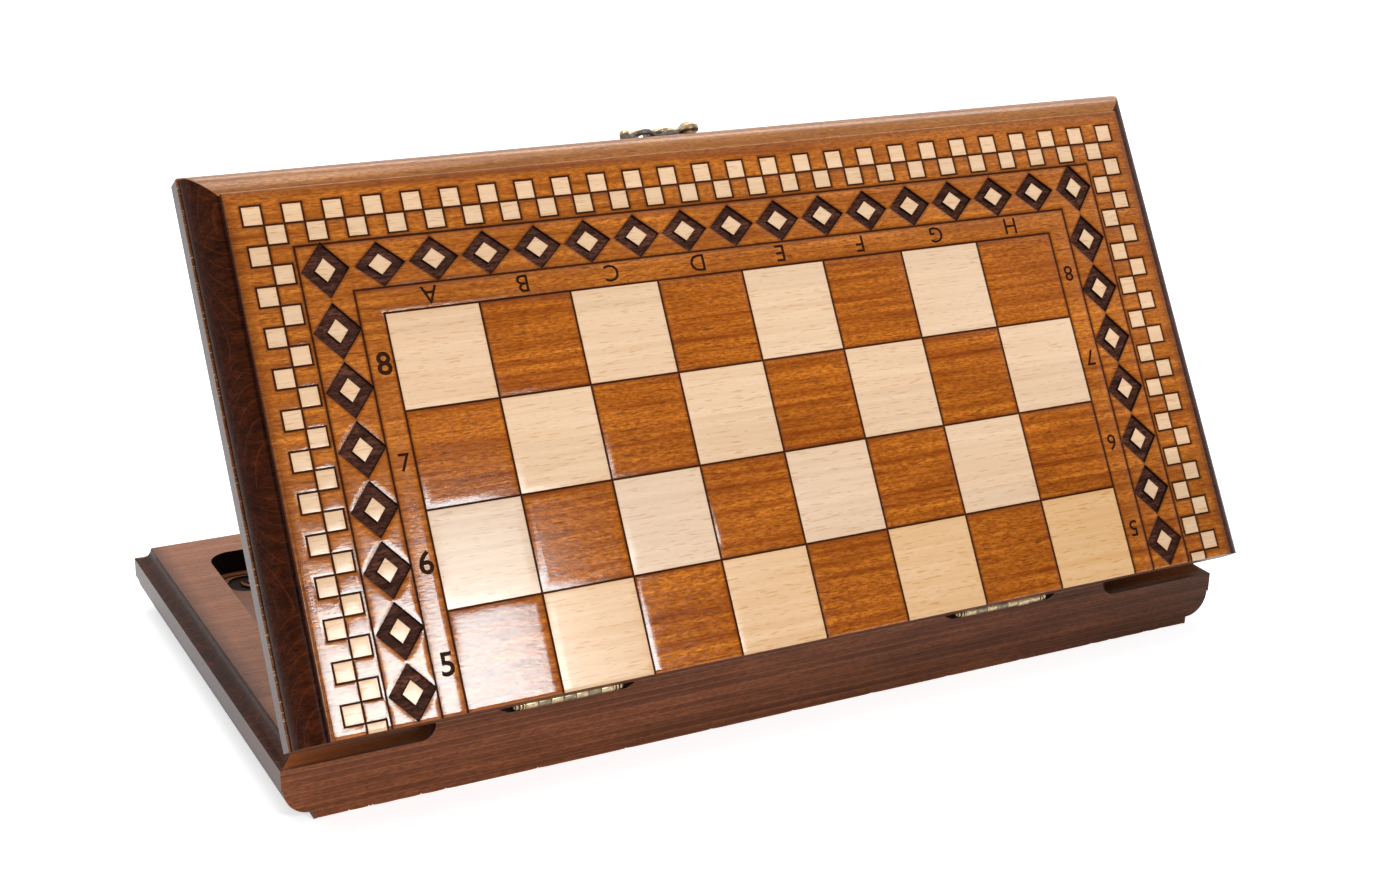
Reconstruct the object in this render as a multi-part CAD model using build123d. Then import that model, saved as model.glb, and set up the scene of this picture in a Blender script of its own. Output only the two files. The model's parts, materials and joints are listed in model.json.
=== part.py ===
from build123d import *
import math
import os

# Folding chess-board box of edge-glued beech: two moulded halves, each with a tray inside and a
# playing face outside, on two brass butt hinges, closed by a swing hook. Millimetres.
# Origin: centre of the lower half's playing face, which lies on the table.
# +X runs along the hinge line, +Y from the hinge edge to the free edge, +Z up.

# Wooden halves
board_width = 500.0
half_depth = 250.0
open_angle = 58.6
seam_gap = 0.3
stave_count = 5
edge_stave = 30.0

# Moulded edge, from the playing face up to the rim
face_fillet = 4.0
face_step = 0.5
ovolo_radius = 12.0
quirk_height = 0.5
quirk_depth = 1.0
land_height = 10.0
cove_radius = 7.0
cove_return = 70.0

# Tray
side_rim = 30.0
end_rim = 28.0
tray_depth = 12.0
tray_corner = 12.0

# Butt hinges
hinge_offset = 117.0
barrel_length = 43.0
barrel_diameter = 4.0
knuckle_count = 7
knuckle_gap = 0.15
pin_diameter = 2.0
pin_clearance = 0.04
leaf_width = 14.0
leaf_thickness = 1.4
leaf_clearance = 0.1
barrel_clearance = 0.4
finial_length = 5.5
finial_ring = 1.1
finial_groove = 0.4
finial_groove_depth = 0.5
finial_ball = 3.2
finial_socket = 3.0
notch_overrun = 1.5

# Hinge screws
screw_count = 3
screw_spacing = 14.0
screw_inset = 8.5
screw_head_diameter = 5.2
screw_shank_diameter = 2.6
screw_length = 13.0
screw_point = 3.0
screw_slot_width = 0.7
screw_slot_depth = 0.6
screw_clearance = 0.05

# Swing hook and its pivot, heights measured out from the edge's land
pivot_diameter = 3.0
pivot_clearance = 0.05
wood_screw_depth = 12.0
spacer_diameter = 8.0
spacer_height = 1.8
hook_play = 0.1
hook_thickness = 2.4
boss_diameter = 11.0
boss_thickness = 2.8
pivot_head_diameter = 8.5
pivot_head_height = 2.3
arm_width = 5.4
waist_width = 3.8
bead_diameter = 6.0
bead_rise = 0.8
hook_head_diameter = 9.4
tail_length = 11.6
tail_width = 4.6
knob_diameter = 5.0
knob_rise = 1.6

# Catch on the lower half
stud_diameter = 3.0
stud_clearance = 0.35
stud_head_diameter = 5.4
stud_head_height = 1.8
stud_head_gap = 0.3
collar_diameter = 9.0
collar_height = 1.2

# Sizes that follow from those above
thickness = face_fillet + ovolo_radius + quirk_height + land_height + cove_radius
moulding_width = face_step + ovolo_radius + quirk_depth
half_width = board_width / 2
edge_y = half_depth / 2
hinge_y = -edge_y - seam_gap / 2
hinge_z = thickness + seam_gap / 2
land_middle = thickness - cove_radius - land_height / 2
hook_reach = 2 * (hinge_z - land_middle)
barrel_radius = barrel_diameter / 2
screw_head_height = (screw_head_diameter - screw_shank_diameter) / 2

# Places: the hinge line, the lower half's free edge, and the upper half as it stands open
hinge_line = Pos(0, hinge_y, hinge_z)
land_plane = Plane(origin=(0, edge_y, land_middle), x_dir=(1, 0, 0), z_dir=(0, 1, 0))
upper_place = hinge_line * Rot(open_angle, 0, 0) * Rot(0, 180, 0) * hinge_line.inverse()


def rod(start, end, radius):
    run = Vector(*end) - Vector(*start)
    place = Plane(origin=start, z_dir=run)
    return place * Cylinder(radius, run.length, align=(Align.CENTER, Align.CENTER, Align.MIN))


def along_hinge(x_from, x_to, radius):
    return rod((x_from, hinge_y, hinge_z), (x_to, hinge_y, hinge_z), radius)


def turned(points):
    """Solid turned about Z from (radius, height) points that start and end on the axis."""
    outline = make_face(Polyline(*points, close=True))
    return revolve(Plane.XZ * outline, Axis.Z)


def dome(radius, height):
    """Low dome on the XY plane, part of one ball."""
    ball_radius = (radius**2 + height**2) / (2 * height)
    cap = Pos(0, 0, height - ball_radius) * Sphere(ball_radius)
    return cap & Cylinder(radius, height, align=(Align.CENTER, Align.CENTER, Align.MIN))


def moulding(edge, side):
    """Edge moulding from the playing face (height 0) to the rim; side is +1 or -1."""
    face = edge - side * moulding_width
    ovolo_in = face + side * face_step
    ovolo_out = edge - side * quirk_depth
    quirk = face_fillet + ovolo_radius
    bulge = ovolo_radius * math.sin(math.radians(45))
    ovolo_middle = (ovolo_in + side * bulge, quirk - bulge)
    foot = Polyline((face, 0), (face, face_fillet), (ovolo_in, face_fillet))
    ovolo = ThreePointArc((ovolo_in, face_fillet), ovolo_middle, (ovolo_out, quirk))
    ledge = quirk + quirk_height
    land = Polyline((ovolo_out, quirk), (ovolo_out, ledge), (edge, ledge), (edge, thickness))
    return [*foot.edges(), ovolo, *land.edges()]


def blank():
    """Half before any cuts: two moulded sections crossed, so that the corners are mitred."""
    face_x = half_width - moulding_width
    face_y = edge_y - moulding_width
    rim = Line((-half_width, thickness), (half_width, thickness))
    face = Line((-face_x, 0), (face_x, 0))
    across = make_face([*moulding(half_width, 1), *moulding(-half_width, -1), rim, face])
    hinge_side = Polyline((face_y, 0), (-edge_y, 0), (-edge_y, thickness), (edge_y, thickness))
    along = make_face([*moulding(edge_y, 1), *hinge_side.edges()])
    return extrude(Plane.XZ * across, edge_y, both=True) & extrude(Plane.YZ * along, half_width, both=True)


def tray():
    length = board_width - 2 * side_rim
    span = half_depth - 2 * end_rim
    floor = Pos(0, 0, thickness - tray_depth) * RectangleRounded(length, span, tray_corner)
    return extrude(floor, tray_depth)


def coves():
    """Cove round the rim's three free edges, turning the hinge-side corners and ending in a ball."""
    run = cove_return - cove_radius
    over_x = half_width + cove_radius
    over_y = edge_y + cove_radius
    cuts = [rod((-over_x, edge_y, thickness), (over_x, edge_y, thickness), cove_radius)]
    for side in (-1, 1):
        x = side * half_width
        end = (side * (half_width - run), -edge_y, thickness)
        cuts.append(rod((x, -over_y, thickness), (x, over_y, thickness), cove_radius))
        cuts.append(rod((side * over_x, -edge_y, thickness), end, cove_radius))
        cuts.append(Pos(*end) * Sphere(cove_radius))
    return cuts


def screw_body(clearance=0.0):
    """Countersunk screw below its head's top, or with a clearance the room that it takes."""
    head = screw_head_diameter / 2 + clearance
    shank = screw_shank_diameter / 2 + clearance
    tip = -screw_length - clearance
    return turned([(0, 0), (head, 0), (shank, -screw_head_height), (shank, tip + screw_point), (0, tip)])


def screw_places(hinge_x):
    first = hinge_x - screw_spacing * (screw_count - 1) / 2
    y = -edge_y + screw_inset
    return [Pos(first + screw_spacing * index, y, thickness) for index in range(screw_count)]


def hinge_screws(hinge_x):
    slot = Pos(0, 0, -screw_slot_depth / 2) * Box(screw_head_diameter, screw_slot_width, screw_slot_depth)
    screw = screw_body() - slot
    return Compound(children=[place * screw for place in screw_places(hinge_x)])


def screw_room(hinge_x):
    return [place * screw_body(screw_clearance) for place in screw_places(hinge_x)]


def hinge_room(hinge_x):
    """What one hinge takes out of a half: the leaf's bed, the barrel's notch and the screw holes."""
    reach = barrel_length / 2 + finial_length + notch_overrun
    notch = along_hinge(hinge_x - reach, hinge_x + reach, barrel_radius + barrel_clearance)
    bed_width = leaf_width + leaf_clearance
    bed = Box(barrel_length + 2 * leaf_clearance, bed_width, leaf_thickness)
    bed_place = Pos(hinge_x, -edge_y + bed_width / 2, thickness - leaf_thickness / 2)
    return [notch, bed_place * bed, *screw_room(hinge_x)]


def half(land_hole_diameter):
    """One half with its tray, cove, hinge beds and the hole in the free edge's land."""
    hole = land_plane * turned(wood_screw_outline(land_hole_diameter, screw_clearance))
    cuts = [tray(), *coves(), hole]
    for hinge_x in (-hinge_offset, hinge_offset):
        cuts += hinge_room(hinge_x)
    return blank() - cuts


def staves(body):
    """The glued staves from the hinge edge on: equal ones, then the narrower one at the free edge."""
    inner = (half_depth - edge_stave) / (stave_count - 1)
    widths = [inner] * (stave_count - 1) + [edge_stave]
    pieces = []
    low = -edge_y
    for width in widths:
        slab = Pos(0, low + width / 2, thickness / 2) * Box(board_width, width, thickness)
        pieces.append(body & slab)
        low += width
    return pieces


def knuckles(hinge_x, owner):
    """Spans along X of every second knuckle: owner 0 has the outer ones, 1 those between."""
    pitch = barrel_length / knuckle_count
    starts = [hinge_x - barrel_length / 2 + pitch * index for index in range(owner, knuckle_count, 2)]
    return [(start, start + pitch) for start in starts]


def leaf(hinge_x, owner):
    """Leaf let into a rim, with its own knuckles round the hinge line and room for the others."""
    width = leaf_width - (hinge_y + edge_y)
    plate_place = Pos(hinge_x, hinge_y + width / 2, thickness - leaf_thickness / 2)
    plate = plate_place * Box(barrel_length, width, leaf_thickness)
    own = [along_hinge(low + knuckle_gap / 2, high - knuckle_gap / 2, barrel_radius)
           for low, high in knuckles(hinge_x, owner)]
    others = [along_hinge(low - knuckle_gap / 2, high + knuckle_gap / 2, barrel_radius + barrel_clearance)
              for low, high in knuckles(hinge_x, 1 - owner)]
    reach = barrel_length / 2
    bore = along_hinge(hinge_x - reach, hinge_x + reach, pin_diameter / 2 + pin_clearance)
    return (plate - others) + own - [bore, *screw_room(hinge_x)]


def hinge_pin(hinge_x):
    reach = barrel_length / 2 + finial_socket
    return along_hinge(hinge_x - reach, hinge_x + reach, pin_diameter / 2)


def finial():
    """Turned cap along +Z: ring, groove, ring, neck and a ball tip, with a socket for the pin."""
    wide = barrel_radius
    narrow = barrel_radius - finial_groove_depth
    second = finial_ring + finial_groove
    top = second + finial_ring
    neck = top + finial_groove
    points = [(0, 0), (wide, 0), (wide, finial_ring), (narrow, finial_ring), (narrow, second),
              (wide, second), (wide, top), (narrow, top), (narrow, neck), (0, neck)]
    ball = Pos(0, 0, finial_length - finial_ball / 2) * Sphere(finial_ball / 2)
    socket_radius = pin_diameter / 2 + pin_clearance
    socket = Cylinder(socket_radius, finial_socket, align=(Align.CENTER, Align.CENTER, Align.MIN))
    return turned(points) + ball - socket


def finials(hinge_x):
    ends = []
    for side in (-1, 1):
        seat = (hinge_x + side * barrel_length / 2, hinge_y, hinge_z)
        ends.append(Plane(origin=seat, z_dir=(side, 0, 0)) * finial())
    return Compound(children=ends)


def wood_screw_outline(diameter, clearance=0.0):
    """Shank below the land's surface, as (radius, height) points for turning."""
    radius = diameter / 2 + clearance
    tip = -wood_screw_depth - clearance
    return [(0, 0), (radius, 0), (radius, tip + screw_point), (0, tip)]


def headed_stud(diameter, neck, head_diameter, head_height):
    """Screw in the land with a plain neck that stands out and a domed head."""
    shank = turned(wood_screw_outline(diameter))
    post = Cylinder(diameter / 2, neck, align=(Align.CENTER, Align.CENTER, Align.MIN))
    head = Pos(0, 0, neck) * dome(head_diameter / 2, head_height)
    return land_plane * (shank + post + head)


def ring(diameter, height, hole_diameter):
    body = Cylinder(diameter / 2, height, align=(Align.CENTER, Align.CENTER, Align.MIN))
    hole = Cylinder(hole_diameter / 2, height, align=(Align.CENTER, Align.CENTER, Align.MIN))
    return land_plane * (body - hole)


def disc(x, diameter, height):
    return Pos(x, 0, 0) * Cylinder(diameter / 2, height, align=(Align.CENTER, Align.CENTER, Align.MIN))


def hook():
    """Swing hook along +X from its pivot, with a slot that meets the stud as it swings to the rim."""
    waist = hook_reach - hook_head_diameter / 2 - bead_diameter / 2
    tail_end = hook_reach + tail_length - knob_diameter / 2
    arm = Polygon((0, -arm_width / 2), (waist, -waist_width / 2), (hook_reach, -arm_width / 2),
                  (hook_reach, arm_width / 2), (waist, waist_width / 2), (0, arm_width / 2), align=None)
    tail = Pos((hook_reach + tail_end) / 2, 0) * Rectangle(tail_end - hook_reach, tail_width)
    body = extrude(arm + tail, hook_thickness)
    body += disc(0, boss_diameter, boss_thickness)
    body += disc(waist, bead_diameter, hook_thickness + bead_rise)
    body += disc(hook_reach, hook_head_diameter, hook_thickness)
    body += disc(tail_end, knob_diameter, hook_thickness)
    body += Pos(tail_end, 0, hook_thickness) * dome(knob_diameter / 2, knob_rise)
    slot_width = stud_diameter + 2 * stud_clearance
    track = disc(0, 2 * hook_reach + slot_width, hook_thickness)
    track -= disc(0, 2 * hook_reach - slot_width, hook_thickness)
    entry = Pos(hook_reach, -hook_head_diameter / 2, hook_thickness / 2)
    track &= entry * Box(2 * hook_head_diameter, hook_head_diameter, hook_thickness)
    bore = disc(0, pivot_diameter + 2 * pivot_clearance, boss_thickness)
    body = body - [track, disc(hook_reach, slot_width, hook_thickness), bore]
    return land_plane * Pos(0, 0, spacer_height + hook_play) * body


def assembly():
    parts = {}
    for index, stave in enumerate(staves(half(stud_diameter)), 1):
        parts[f"lower_stave_{index}"] = stave
    for index, stave in enumerate(staves(half(pivot_diameter)), 1):
        parts[f"upper_stave_{index}"] = upper_place * stave
    for side, hinge_x in (("left", -hinge_offset), ("right", hinge_offset)):
        parts[f"{side}_hinge_lower_leaf"] = leaf(hinge_x, 0)
        parts[f"{side}_hinge_upper_leaf"] = upper_place * leaf(-hinge_x, 1)
        parts[f"{side}_hinge_pin"] = hinge_pin(hinge_x)
        parts[f"{side}_hinge_finials"] = finials(hinge_x)
        parts[f"{side}_hinge_lower_screws"] = hinge_screws(hinge_x)
        parts[f"{side}_hinge_upper_screws"] = upper_place * hinge_screws(-hinge_x)
    hook_top = spacer_height + hook_play + hook_thickness
    boss_top = spacer_height + hook_play + boss_thickness
    pivot = headed_stud(pivot_diameter, boss_top + hook_play, pivot_head_diameter, pivot_head_height)
    parts["latch_hook"] = upper_place * hook()
    parts["latch_pivot_screw"] = upper_place * pivot
    pivot_hole = pivot_diameter + 2 * pivot_clearance
    parts["latch_spacer"] = upper_place * ring(spacer_diameter, spacer_height, pivot_hole)
    stud = headed_stud(stud_diameter, hook_top + stud_head_gap, stud_head_diameter, stud_head_height)
    parts["catch_stud"] = stud
    parts["catch_collar"] = ring(collar_diameter, collar_height, stud_diameter + 2 * pivot_clearance)
    return parts


os.makedirs("parts", exist_ok=True)
for name, shape in assembly().items():
    export_step(shape, f"parts/{name}.step")
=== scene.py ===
import json
import math

import bmesh
import bpy
import numpy as np
from mathutils import Matrix, Vector
from mathutils.geometry import delaunay_2d_cdt


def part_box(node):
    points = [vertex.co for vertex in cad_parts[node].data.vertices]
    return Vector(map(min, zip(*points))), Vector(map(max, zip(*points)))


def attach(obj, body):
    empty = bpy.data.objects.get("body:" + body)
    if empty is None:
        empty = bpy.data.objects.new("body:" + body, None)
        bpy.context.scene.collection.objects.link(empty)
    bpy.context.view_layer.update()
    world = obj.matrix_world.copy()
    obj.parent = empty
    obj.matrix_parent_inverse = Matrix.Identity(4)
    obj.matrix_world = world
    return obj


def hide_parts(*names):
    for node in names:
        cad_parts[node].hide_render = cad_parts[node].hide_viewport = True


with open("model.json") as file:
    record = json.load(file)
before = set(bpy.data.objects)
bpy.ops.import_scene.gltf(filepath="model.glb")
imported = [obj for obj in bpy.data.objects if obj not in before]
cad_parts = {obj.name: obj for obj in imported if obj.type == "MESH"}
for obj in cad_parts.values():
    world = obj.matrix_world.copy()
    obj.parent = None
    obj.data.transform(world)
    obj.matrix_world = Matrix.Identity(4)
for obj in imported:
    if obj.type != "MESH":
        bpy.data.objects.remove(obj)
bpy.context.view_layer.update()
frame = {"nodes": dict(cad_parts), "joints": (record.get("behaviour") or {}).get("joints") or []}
scene = bpy.context.scene
scene.view_settings.view_transform = "Standard"

# A half is modelled in millimetres: x along the hinge, p from the hinge edge, h up from the playing face
mm = 0.001
tiny = 1e-3  # spots this near are one spot
near, slack = 0.01, 0.05  # room for telling surfaces apart
joints = {joint["name"]: joint for joint in frame["joints"]}
hingePoint = Vector(joints["board_fold"]["pos_m"])
openAngle = -math.radians(joints["board_fold"]["range_deg"][0])
staveCount = 5
staveBoxes = [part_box(f"lower_stave_{index}") for index in range(1, staveCount + 1)]
hingeEdge = staveBoxes[0][0].y
staveEdges = [round((low.y - hingeEdge) / mm, 3) for low, high in staveBoxes]
staveEdges.append(round((staveBoxes[-1][1].y - hingeEdge) / mm, 3))
halfWidth = round(staveBoxes[0][1].x / mm, 3)
halfDepth = staveEdges[-1]
thickness = round(staveBoxes[0][1].z / mm, 3)

toRow = Matrix.Translation((0, hingeEdge, 0)) @ Matrix.Scale(mm, 4)
turnOver = Matrix.Rotation(openAngle, 4, "X") @ Matrix.Rotation(math.pi, 4, "Y")
halfPlaces = {
    "lower": toRow,
    "upper": Matrix.Translation(hingePoint) @ turnOver @ Matrix.Translation(-hingePoint) @ toRow,
}


# Small helpers

def newObject(name, mesh):
    made = bpy.data.objects.new(name, mesh)
    scene.collection.objects.link(made)
    return made


def meshObject(name, bm):
    mesh = bpy.data.meshes.new(name)
    bm.to_mesh(mesh)
    bm.free()
    return newObject(name, mesh)


def bakeDown(made):
    # the evaluated shape becomes the object's plain mesh, with no modifier left
    ready = made.evaluated_get(bpy.context.evaluated_depsgraph_get())
    mesh = bpy.data.meshes.new_from_object(ready)
    made.modifiers.clear()
    old = made.data
    made.data = mesh
    bpy.data.meshes.remove(old)
    return made


def arcPoints(centre, radius, start, end, steps):
    angles = np.radians(np.linspace(start, end, steps + 1))
    return [(centre[0] + radius * math.cos(a), centre[1] + radius * math.sin(a)) for a in angles]


def boxLoop(x, p, halfX, halfP):
    return [(x - halfX, p - halfP), (x + halfX, p - halfP), (x + halfX, p + halfP), (x - halfX, p + halfP)]


def diamondLoop(x, p, halfX, halfP):
    return [(x, p - halfP), (x + halfX, p), (x, p + halfP), (x - halfX, p)]


def roundedLoop(x, p, halfX, halfP, radius, steps):
    loop = []
    for turn, (sideX, sideP) in enumerate(((1, 1), (-1, 1), (-1, -1), (1, -1))):
        centre = (x + sideX * (halfX - radius), p + sideP * (halfP - radius))
        loop += arcPoints(centre, radius, 90 * turn, 90 * turn + 90, steps)
    return loop


def offsetLoop(loop, distance):
    # mitred offset of a counter-clockwise loop, outward where the distance is positive
    loop = np.asarray(loop, float)
    ahead = np.roll(loop, -1, 0) - loop
    ahead /= np.linalg.norm(ahead, axis=1)[:, None]
    outward = np.c_[ahead[:, 1], -ahead[:, 0]]
    mitre = outward + np.roll(outward, 1, 0)
    shortest = 0.3  # keeps sharp corners from running far out
    mitre /= np.maximum((mitre * outward).sum(1), shortest)[:, None]
    return loop + distance * mitre


def loopSegments(points, closed):
    points = np.asarray(points, float)
    ends = np.roll(points, -1, 0)
    return np.hstack([points, ends]) if closed else np.hstack([points[:-1], points[1:]])


def distanceTo(points, segments):
    # distance from each point to the nearest of many segments
    best = np.empty(len(points))
    start = segments[:, :2]
    run = segments[:, 2:] - start
    length = np.maximum((run * run).sum(1), 1e-12)
    batch = 1500
    for low in range(0, len(points), batch):
        gap = points[low:low + batch, None] - start
        along = np.clip((gap * run).sum(2) / length, 0, 1)
        best[low:low + batch] = np.sqrt(((gap - along[..., None] * run) ** 2).sum(2).min(1))
    return best


def insideLoops(points, loops):
    # even-odd test, so that a loop within a loop is a hole
    inside = np.zeros(len(points), bool)
    for loop in loops:
        loop = np.asarray(loop, float)
        boxed = ((points >= loop.min(0)) & (points <= loop.max(0))).all(1)
        x, p = points[boxed, 0][:, None], points[boxed, 1][:, None]
        ahead = np.roll(loop, -1, 0)
        spans = (loop[:, 1] > p) != (ahead[:, 1] > p)
        rise = np.where(ahead[:, 1] == loop[:, 1], 1e-12, ahead[:, 1] - loop[:, 1])
        crossing = loop[:, 0] + (p - loop[:, 1]) / rise * (ahead[:, 0] - loop[:, 0])
        inside[boxed] ^= (spans & (x < crossing)).sum(1) % 2 == 1
    return inside


def turnedMesh(bm, profile, place, steps):
    # turned shape from (radius, height) points that start and end on the axis, or close on themselves
    rings = []
    for radius, height in profile:
        if radius < 1e-6:
            rings.append([bm.verts.new(place @ Vector((0, 0, height)))])
            continue
        angles = [2 * math.pi * step / steps for step in range(steps)]
        spots = [Vector((radius * math.cos(a), radius * math.sin(a), height)) for a in angles]
        rings.append([bm.verts.new(place @ spot) for spot in spots])
    if len(rings[0]) > 1:
        rings.append(rings[0])
    faces = []
    for lower, upper in zip(rings, rings[1:]):
        for step in range(steps):
            after = (step + 1) % steps
            ring = [lower[step % len(lower)], lower[after % len(lower)]]
            ring += [upper[after % len(upper)], upper[step % len(upper)]]
            faces.append(bm.faces.new(list(dict.fromkeys(ring))))
    bmesh.ops.recalc_face_normals(bm, faces=faces)
    return faces


# Wooden half: moulded edge, coves, tray and hinge beds

edge = {
    "arris": 0.5, "softArris": 0.4, "faceFall": 0.2, "hingeFall": 0.45, "hingeRun": 1.6,
    "fillet": 4.0, "step": 0.5, "ovolo": 12.0, "quirkHeight": 0.5, "quirkDepth": 1.0, "land": 10.0,
    "cove": 7.0, "coveArc": (-86, -4), "coveReturn": 70.0, "coveClear": 1.0, "corner": 0.9,
    "cornerSteps": 4, "arcSteps": 16, "ballSteps": 12, "softSteps": 3, "turnSteps": 48,
}
mouldingWidth = edge["step"] + edge["ovolo"] + edge["quirkDepth"]
faceHalf = halfWidth - mouldingWidth - edge["arris"]
faceFar = halfDepth - mouldingWidth - edge["arris"]
trayCut = {"sideRim": 30.0, "endRim": 28.0, "depth": 12.0, "corner": 12.0, "cornerSteps": 10}
trayFloor = thickness - trayCut["depth"]
trayMiddle = halfDepth / 2
traySize = (halfWidth - trayCut["sideRim"], halfDepth / 2 - trayCut["endRim"])
trayLoop = roundedLoop(0, trayMiddle, *traySize, trayCut["corner"], trayCut["cornerSteps"])
hingeBed = {
    "offset": 117.0, "leafLength": 43.2, "leafWidth": 14.1, "leafDepth": 1.4, "notchRadius": 2.4,
    "notchReach": 28.5, "notchTaper": 5.0, "axisGap": 0.15, "spare": 2.0, "overrun": 5.0,
}


def edgeProfile():
    # (inset from the outer edge, height), from the playing face out to the land and back to the rim
    arris, soft, steps = edge["arris"], edge["softArris"], edge["softSteps"]
    points = arcPoints((mouldingWidth + arris, edge["faceFall"] + arris), arris, 270, 180, steps)
    points.append((mouldingWidth, edge["fillet"]))
    quirk = edge["fillet"] + edge["ovolo"]
    points += arcPoints((mouldingWidth - edge["step"], quirk), edge["ovolo"], 270, 180, edge["arcSteps"])
    ledge = quirk + edge["quirkHeight"]
    points.append((edge["quirkDepth"], ledge))
    points += arcPoints((soft, ledge + soft), soft, 270, 180, steps)
    landTop = ledge + edge["land"]
    points += arcPoints((soft, landTop - soft), soft, 180, 90, steps)
    points += arcPoints((0, thickness), edge["cove"], *edge["coveArc"], edge["arcSteps"])
    points += arcPoints((edge["cove"] + soft, thickness - soft), soft, 180, 90, steps)
    return points


def sweptPath(inset):
    # round three sides at that inset, from the hinge edge and back to it
    soft, steps = edge["corner"], edge["cornerSteps"]
    x, p = halfWidth - inset, halfDepth - inset
    left = arcPoints((-x + soft, p - soft), soft, 180, 90, steps)
    right = arcPoints((x - soft, p - soft), soft, 90, 0, steps)
    return [(-x, 0), *left, *right, (x, 0)]


def halfBlank():
    bm = bmesh.new()
    rows = []
    for inset, height in edgeProfile():
        rows.append([bm.verts.new((x, p, height)) for x, p in sweptPath(inset)])
    for low, high in zip(rows, rows[1:]):
        for index in range(len(low) - 1):
            bm.faces.new((low[index], low[index + 1], high[index + 1], high[index]))
    bm.faces.new(rows[0])
    bm.faces.new(rows[-1])
    bm.faces.new([row[0] for row in rows] + [row[-1] for row in reversed(rows)])
    bmesh.ops.recalc_face_normals(bm, faces=bm.faces)
    return meshObject("halfBlank", bm)


def prismCutter(loop, low, high):
    bm = bmesh.new()
    floor = [bm.verts.new((x, p, low)) for x, p in loop]
    top = [bm.verts.new((x, p, high)) for x, p in loop]
    bm.faces.new(floor)
    bm.faces.new(top)
    for index, vert in enumerate(floor):
        after = (index + 1) % len(loop)
        bm.faces.new((vert, floor[after], top[after], top[index]))
    bmesh.ops.recalc_face_normals(bm, faces=bm.faces)
    return meshObject("prismCutter", bm)


def turnedObject(name, profile, place, steps):
    bm = bmesh.new()
    turnedMesh(bm, profile, place, steps)
    return meshObject(name, bm)


def alongX(start, side=1):
    # place of a turned piece whose axis runs along x from the start
    return Matrix.Translation(start) @ Matrix.Rotation(side * math.pi / 2, 4, "Y")


def coveCutter(side):
    # bar along the hinge edge from the corner, with a ball end inside the wood
    radius = edge["cove"]
    tip = arcPoints((0, edge["coveReturn"]), radius, 0, 90, edge["ballSteps"])
    start = (side * (halfWidth + radius), 0, thickness)
    return turnedObject("coveCutter", [(0, 0), (radius, 0), *tip], alongX(start, -side), edge["turnSteps"])


def notchCutter(x):
    # room for the barrel and its finials, tapered out at both ends
    radius, reach = hingeBed["notchRadius"], hingeBed["notchReach"]
    tip = reach + hingeBed["notchTaper"]
    profile = [(0, -tip), (radius, -reach), (radius, reach), (0, tip)]
    place = alongX((x, -hingeBed["axisGap"], thickness + hingeBed["axisGap"]))
    return turnedObject("notchCutter", profile, place, edge["turnSteps"])


def halfCutters():
    top = thickness + hingeBed["overrun"]
    cutters = [prismCutter(trayLoop, trayFloor, top)]
    width, spare = hingeBed["leafWidth"] / 2, hingeBed["spare"]
    for side in (-1, 1):
        cutters.append(coveCutter(side))
        x = side * hingeBed["offset"]
        bed = boxLoop(x, width - spare, hingeBed["leafLength"] / 2, width + spare)
        cutters.append(prismCutter(bed, thickness - hingeBed["leafDepth"], top))
        cutters.append(notchCutter(x))
    return cutters


def reshape(made, others, operation):
    # cuts the other objects out of the made one, or joins them to it, and clears them away
    for other in others:
        change = made.modifiers.new("reshape", "BOOLEAN")
        change.operation, change.solver, change.object = operation, "EXACT", other
    bakeDown(made)
    for other in others:
        bpy.data.objects.remove(other)
    return made


def cutHalf():
    blank = reshape(halfBlank(), halfCutters(), "DIFFERENCE")
    bm = bmesh.new()
    bm.from_mesh(blank.data)
    bpy.data.objects.remove(blank)
    bmesh.ops.remove_doubles(bm, verts=bm.verts, dist=tiny)
    return bm


# Playing face: squares, check border, diamonds, letters and numbers, cut into the wood

fileCount, rowCount = 8, 4
carving = {
    "square": 44.0, "letterLine": 11.5, "diamondLine": 33.7, "check": 9.0, "checkRing": 25,
    "grooveHalf": 0.5, "grooveDepth": 0.8, "pillowWidth": 4.0, "pillowDepth": edge["faceFall"],
    "edgePillow": 4.5, "wallRun": 0.25, "runOut": 5.0, "scorchRun": 1.1, "scorchFall": 1.5,
    "edgeScorch": 5.0,
}
fieldHalf = rowCount * carving["square"]
letterHalf = fieldHalf + carving["letterLine"]
diamondHalf = fieldHalf + carving["diamondLine"]
diamonds = {
    "middle": 198.0, "sidePitch": 26.26, "sideHalf": (10.9, 12.7), "sideCount": 8,
    "topPitch": 24.75, "topHalf": (11.6, 10.3), "topCount": 15, "island": 5.3, "floor": 1.6,
}
signs = {
    "letters": "ABCDEFGH", "letterPlace": 181.9, "numberPlace": (180.8, 181.6), "slimRanks": (7,),
    "boldCut": (10.0, 0.27), "slimCut": (7.9, 0.06), "floor": 0.55, "wallRun": 0.18, "curveSteps": 3,
}
pillowSteps = (0.0, 0.3, 0.62, 1.0)


def frameLine(half):
    # line round the three free sides, run out past the hinge edge
    out = -carving["runOut"]
    return [(-half, out), (-half, half), (half, half), (half, out)]


def fileMiddle(file):
    return (file - (fileCount - 1) / 2) * carving["square"]


def rankOf(row, half):
    return rowCount + 1 + row if half == "upper" else rowCount - row


def inField(points):
    return (np.abs(points[:, 0]) < fieldHalf) & (points[:, 1] < fieldHalf)


def checkCells():
    # light cells of the two-row check border, as (x, p) cell numbers
    ring = carving["checkRing"]
    for i in range(-ring, ring + 1):
        for j in range(0, ring + 1):
            outer = max(abs(i), j)
            if outer >= ring - 1 and (i - outer) % 2 == 0 and (j - outer) % 2 == 0:
                yield i, j


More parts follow.
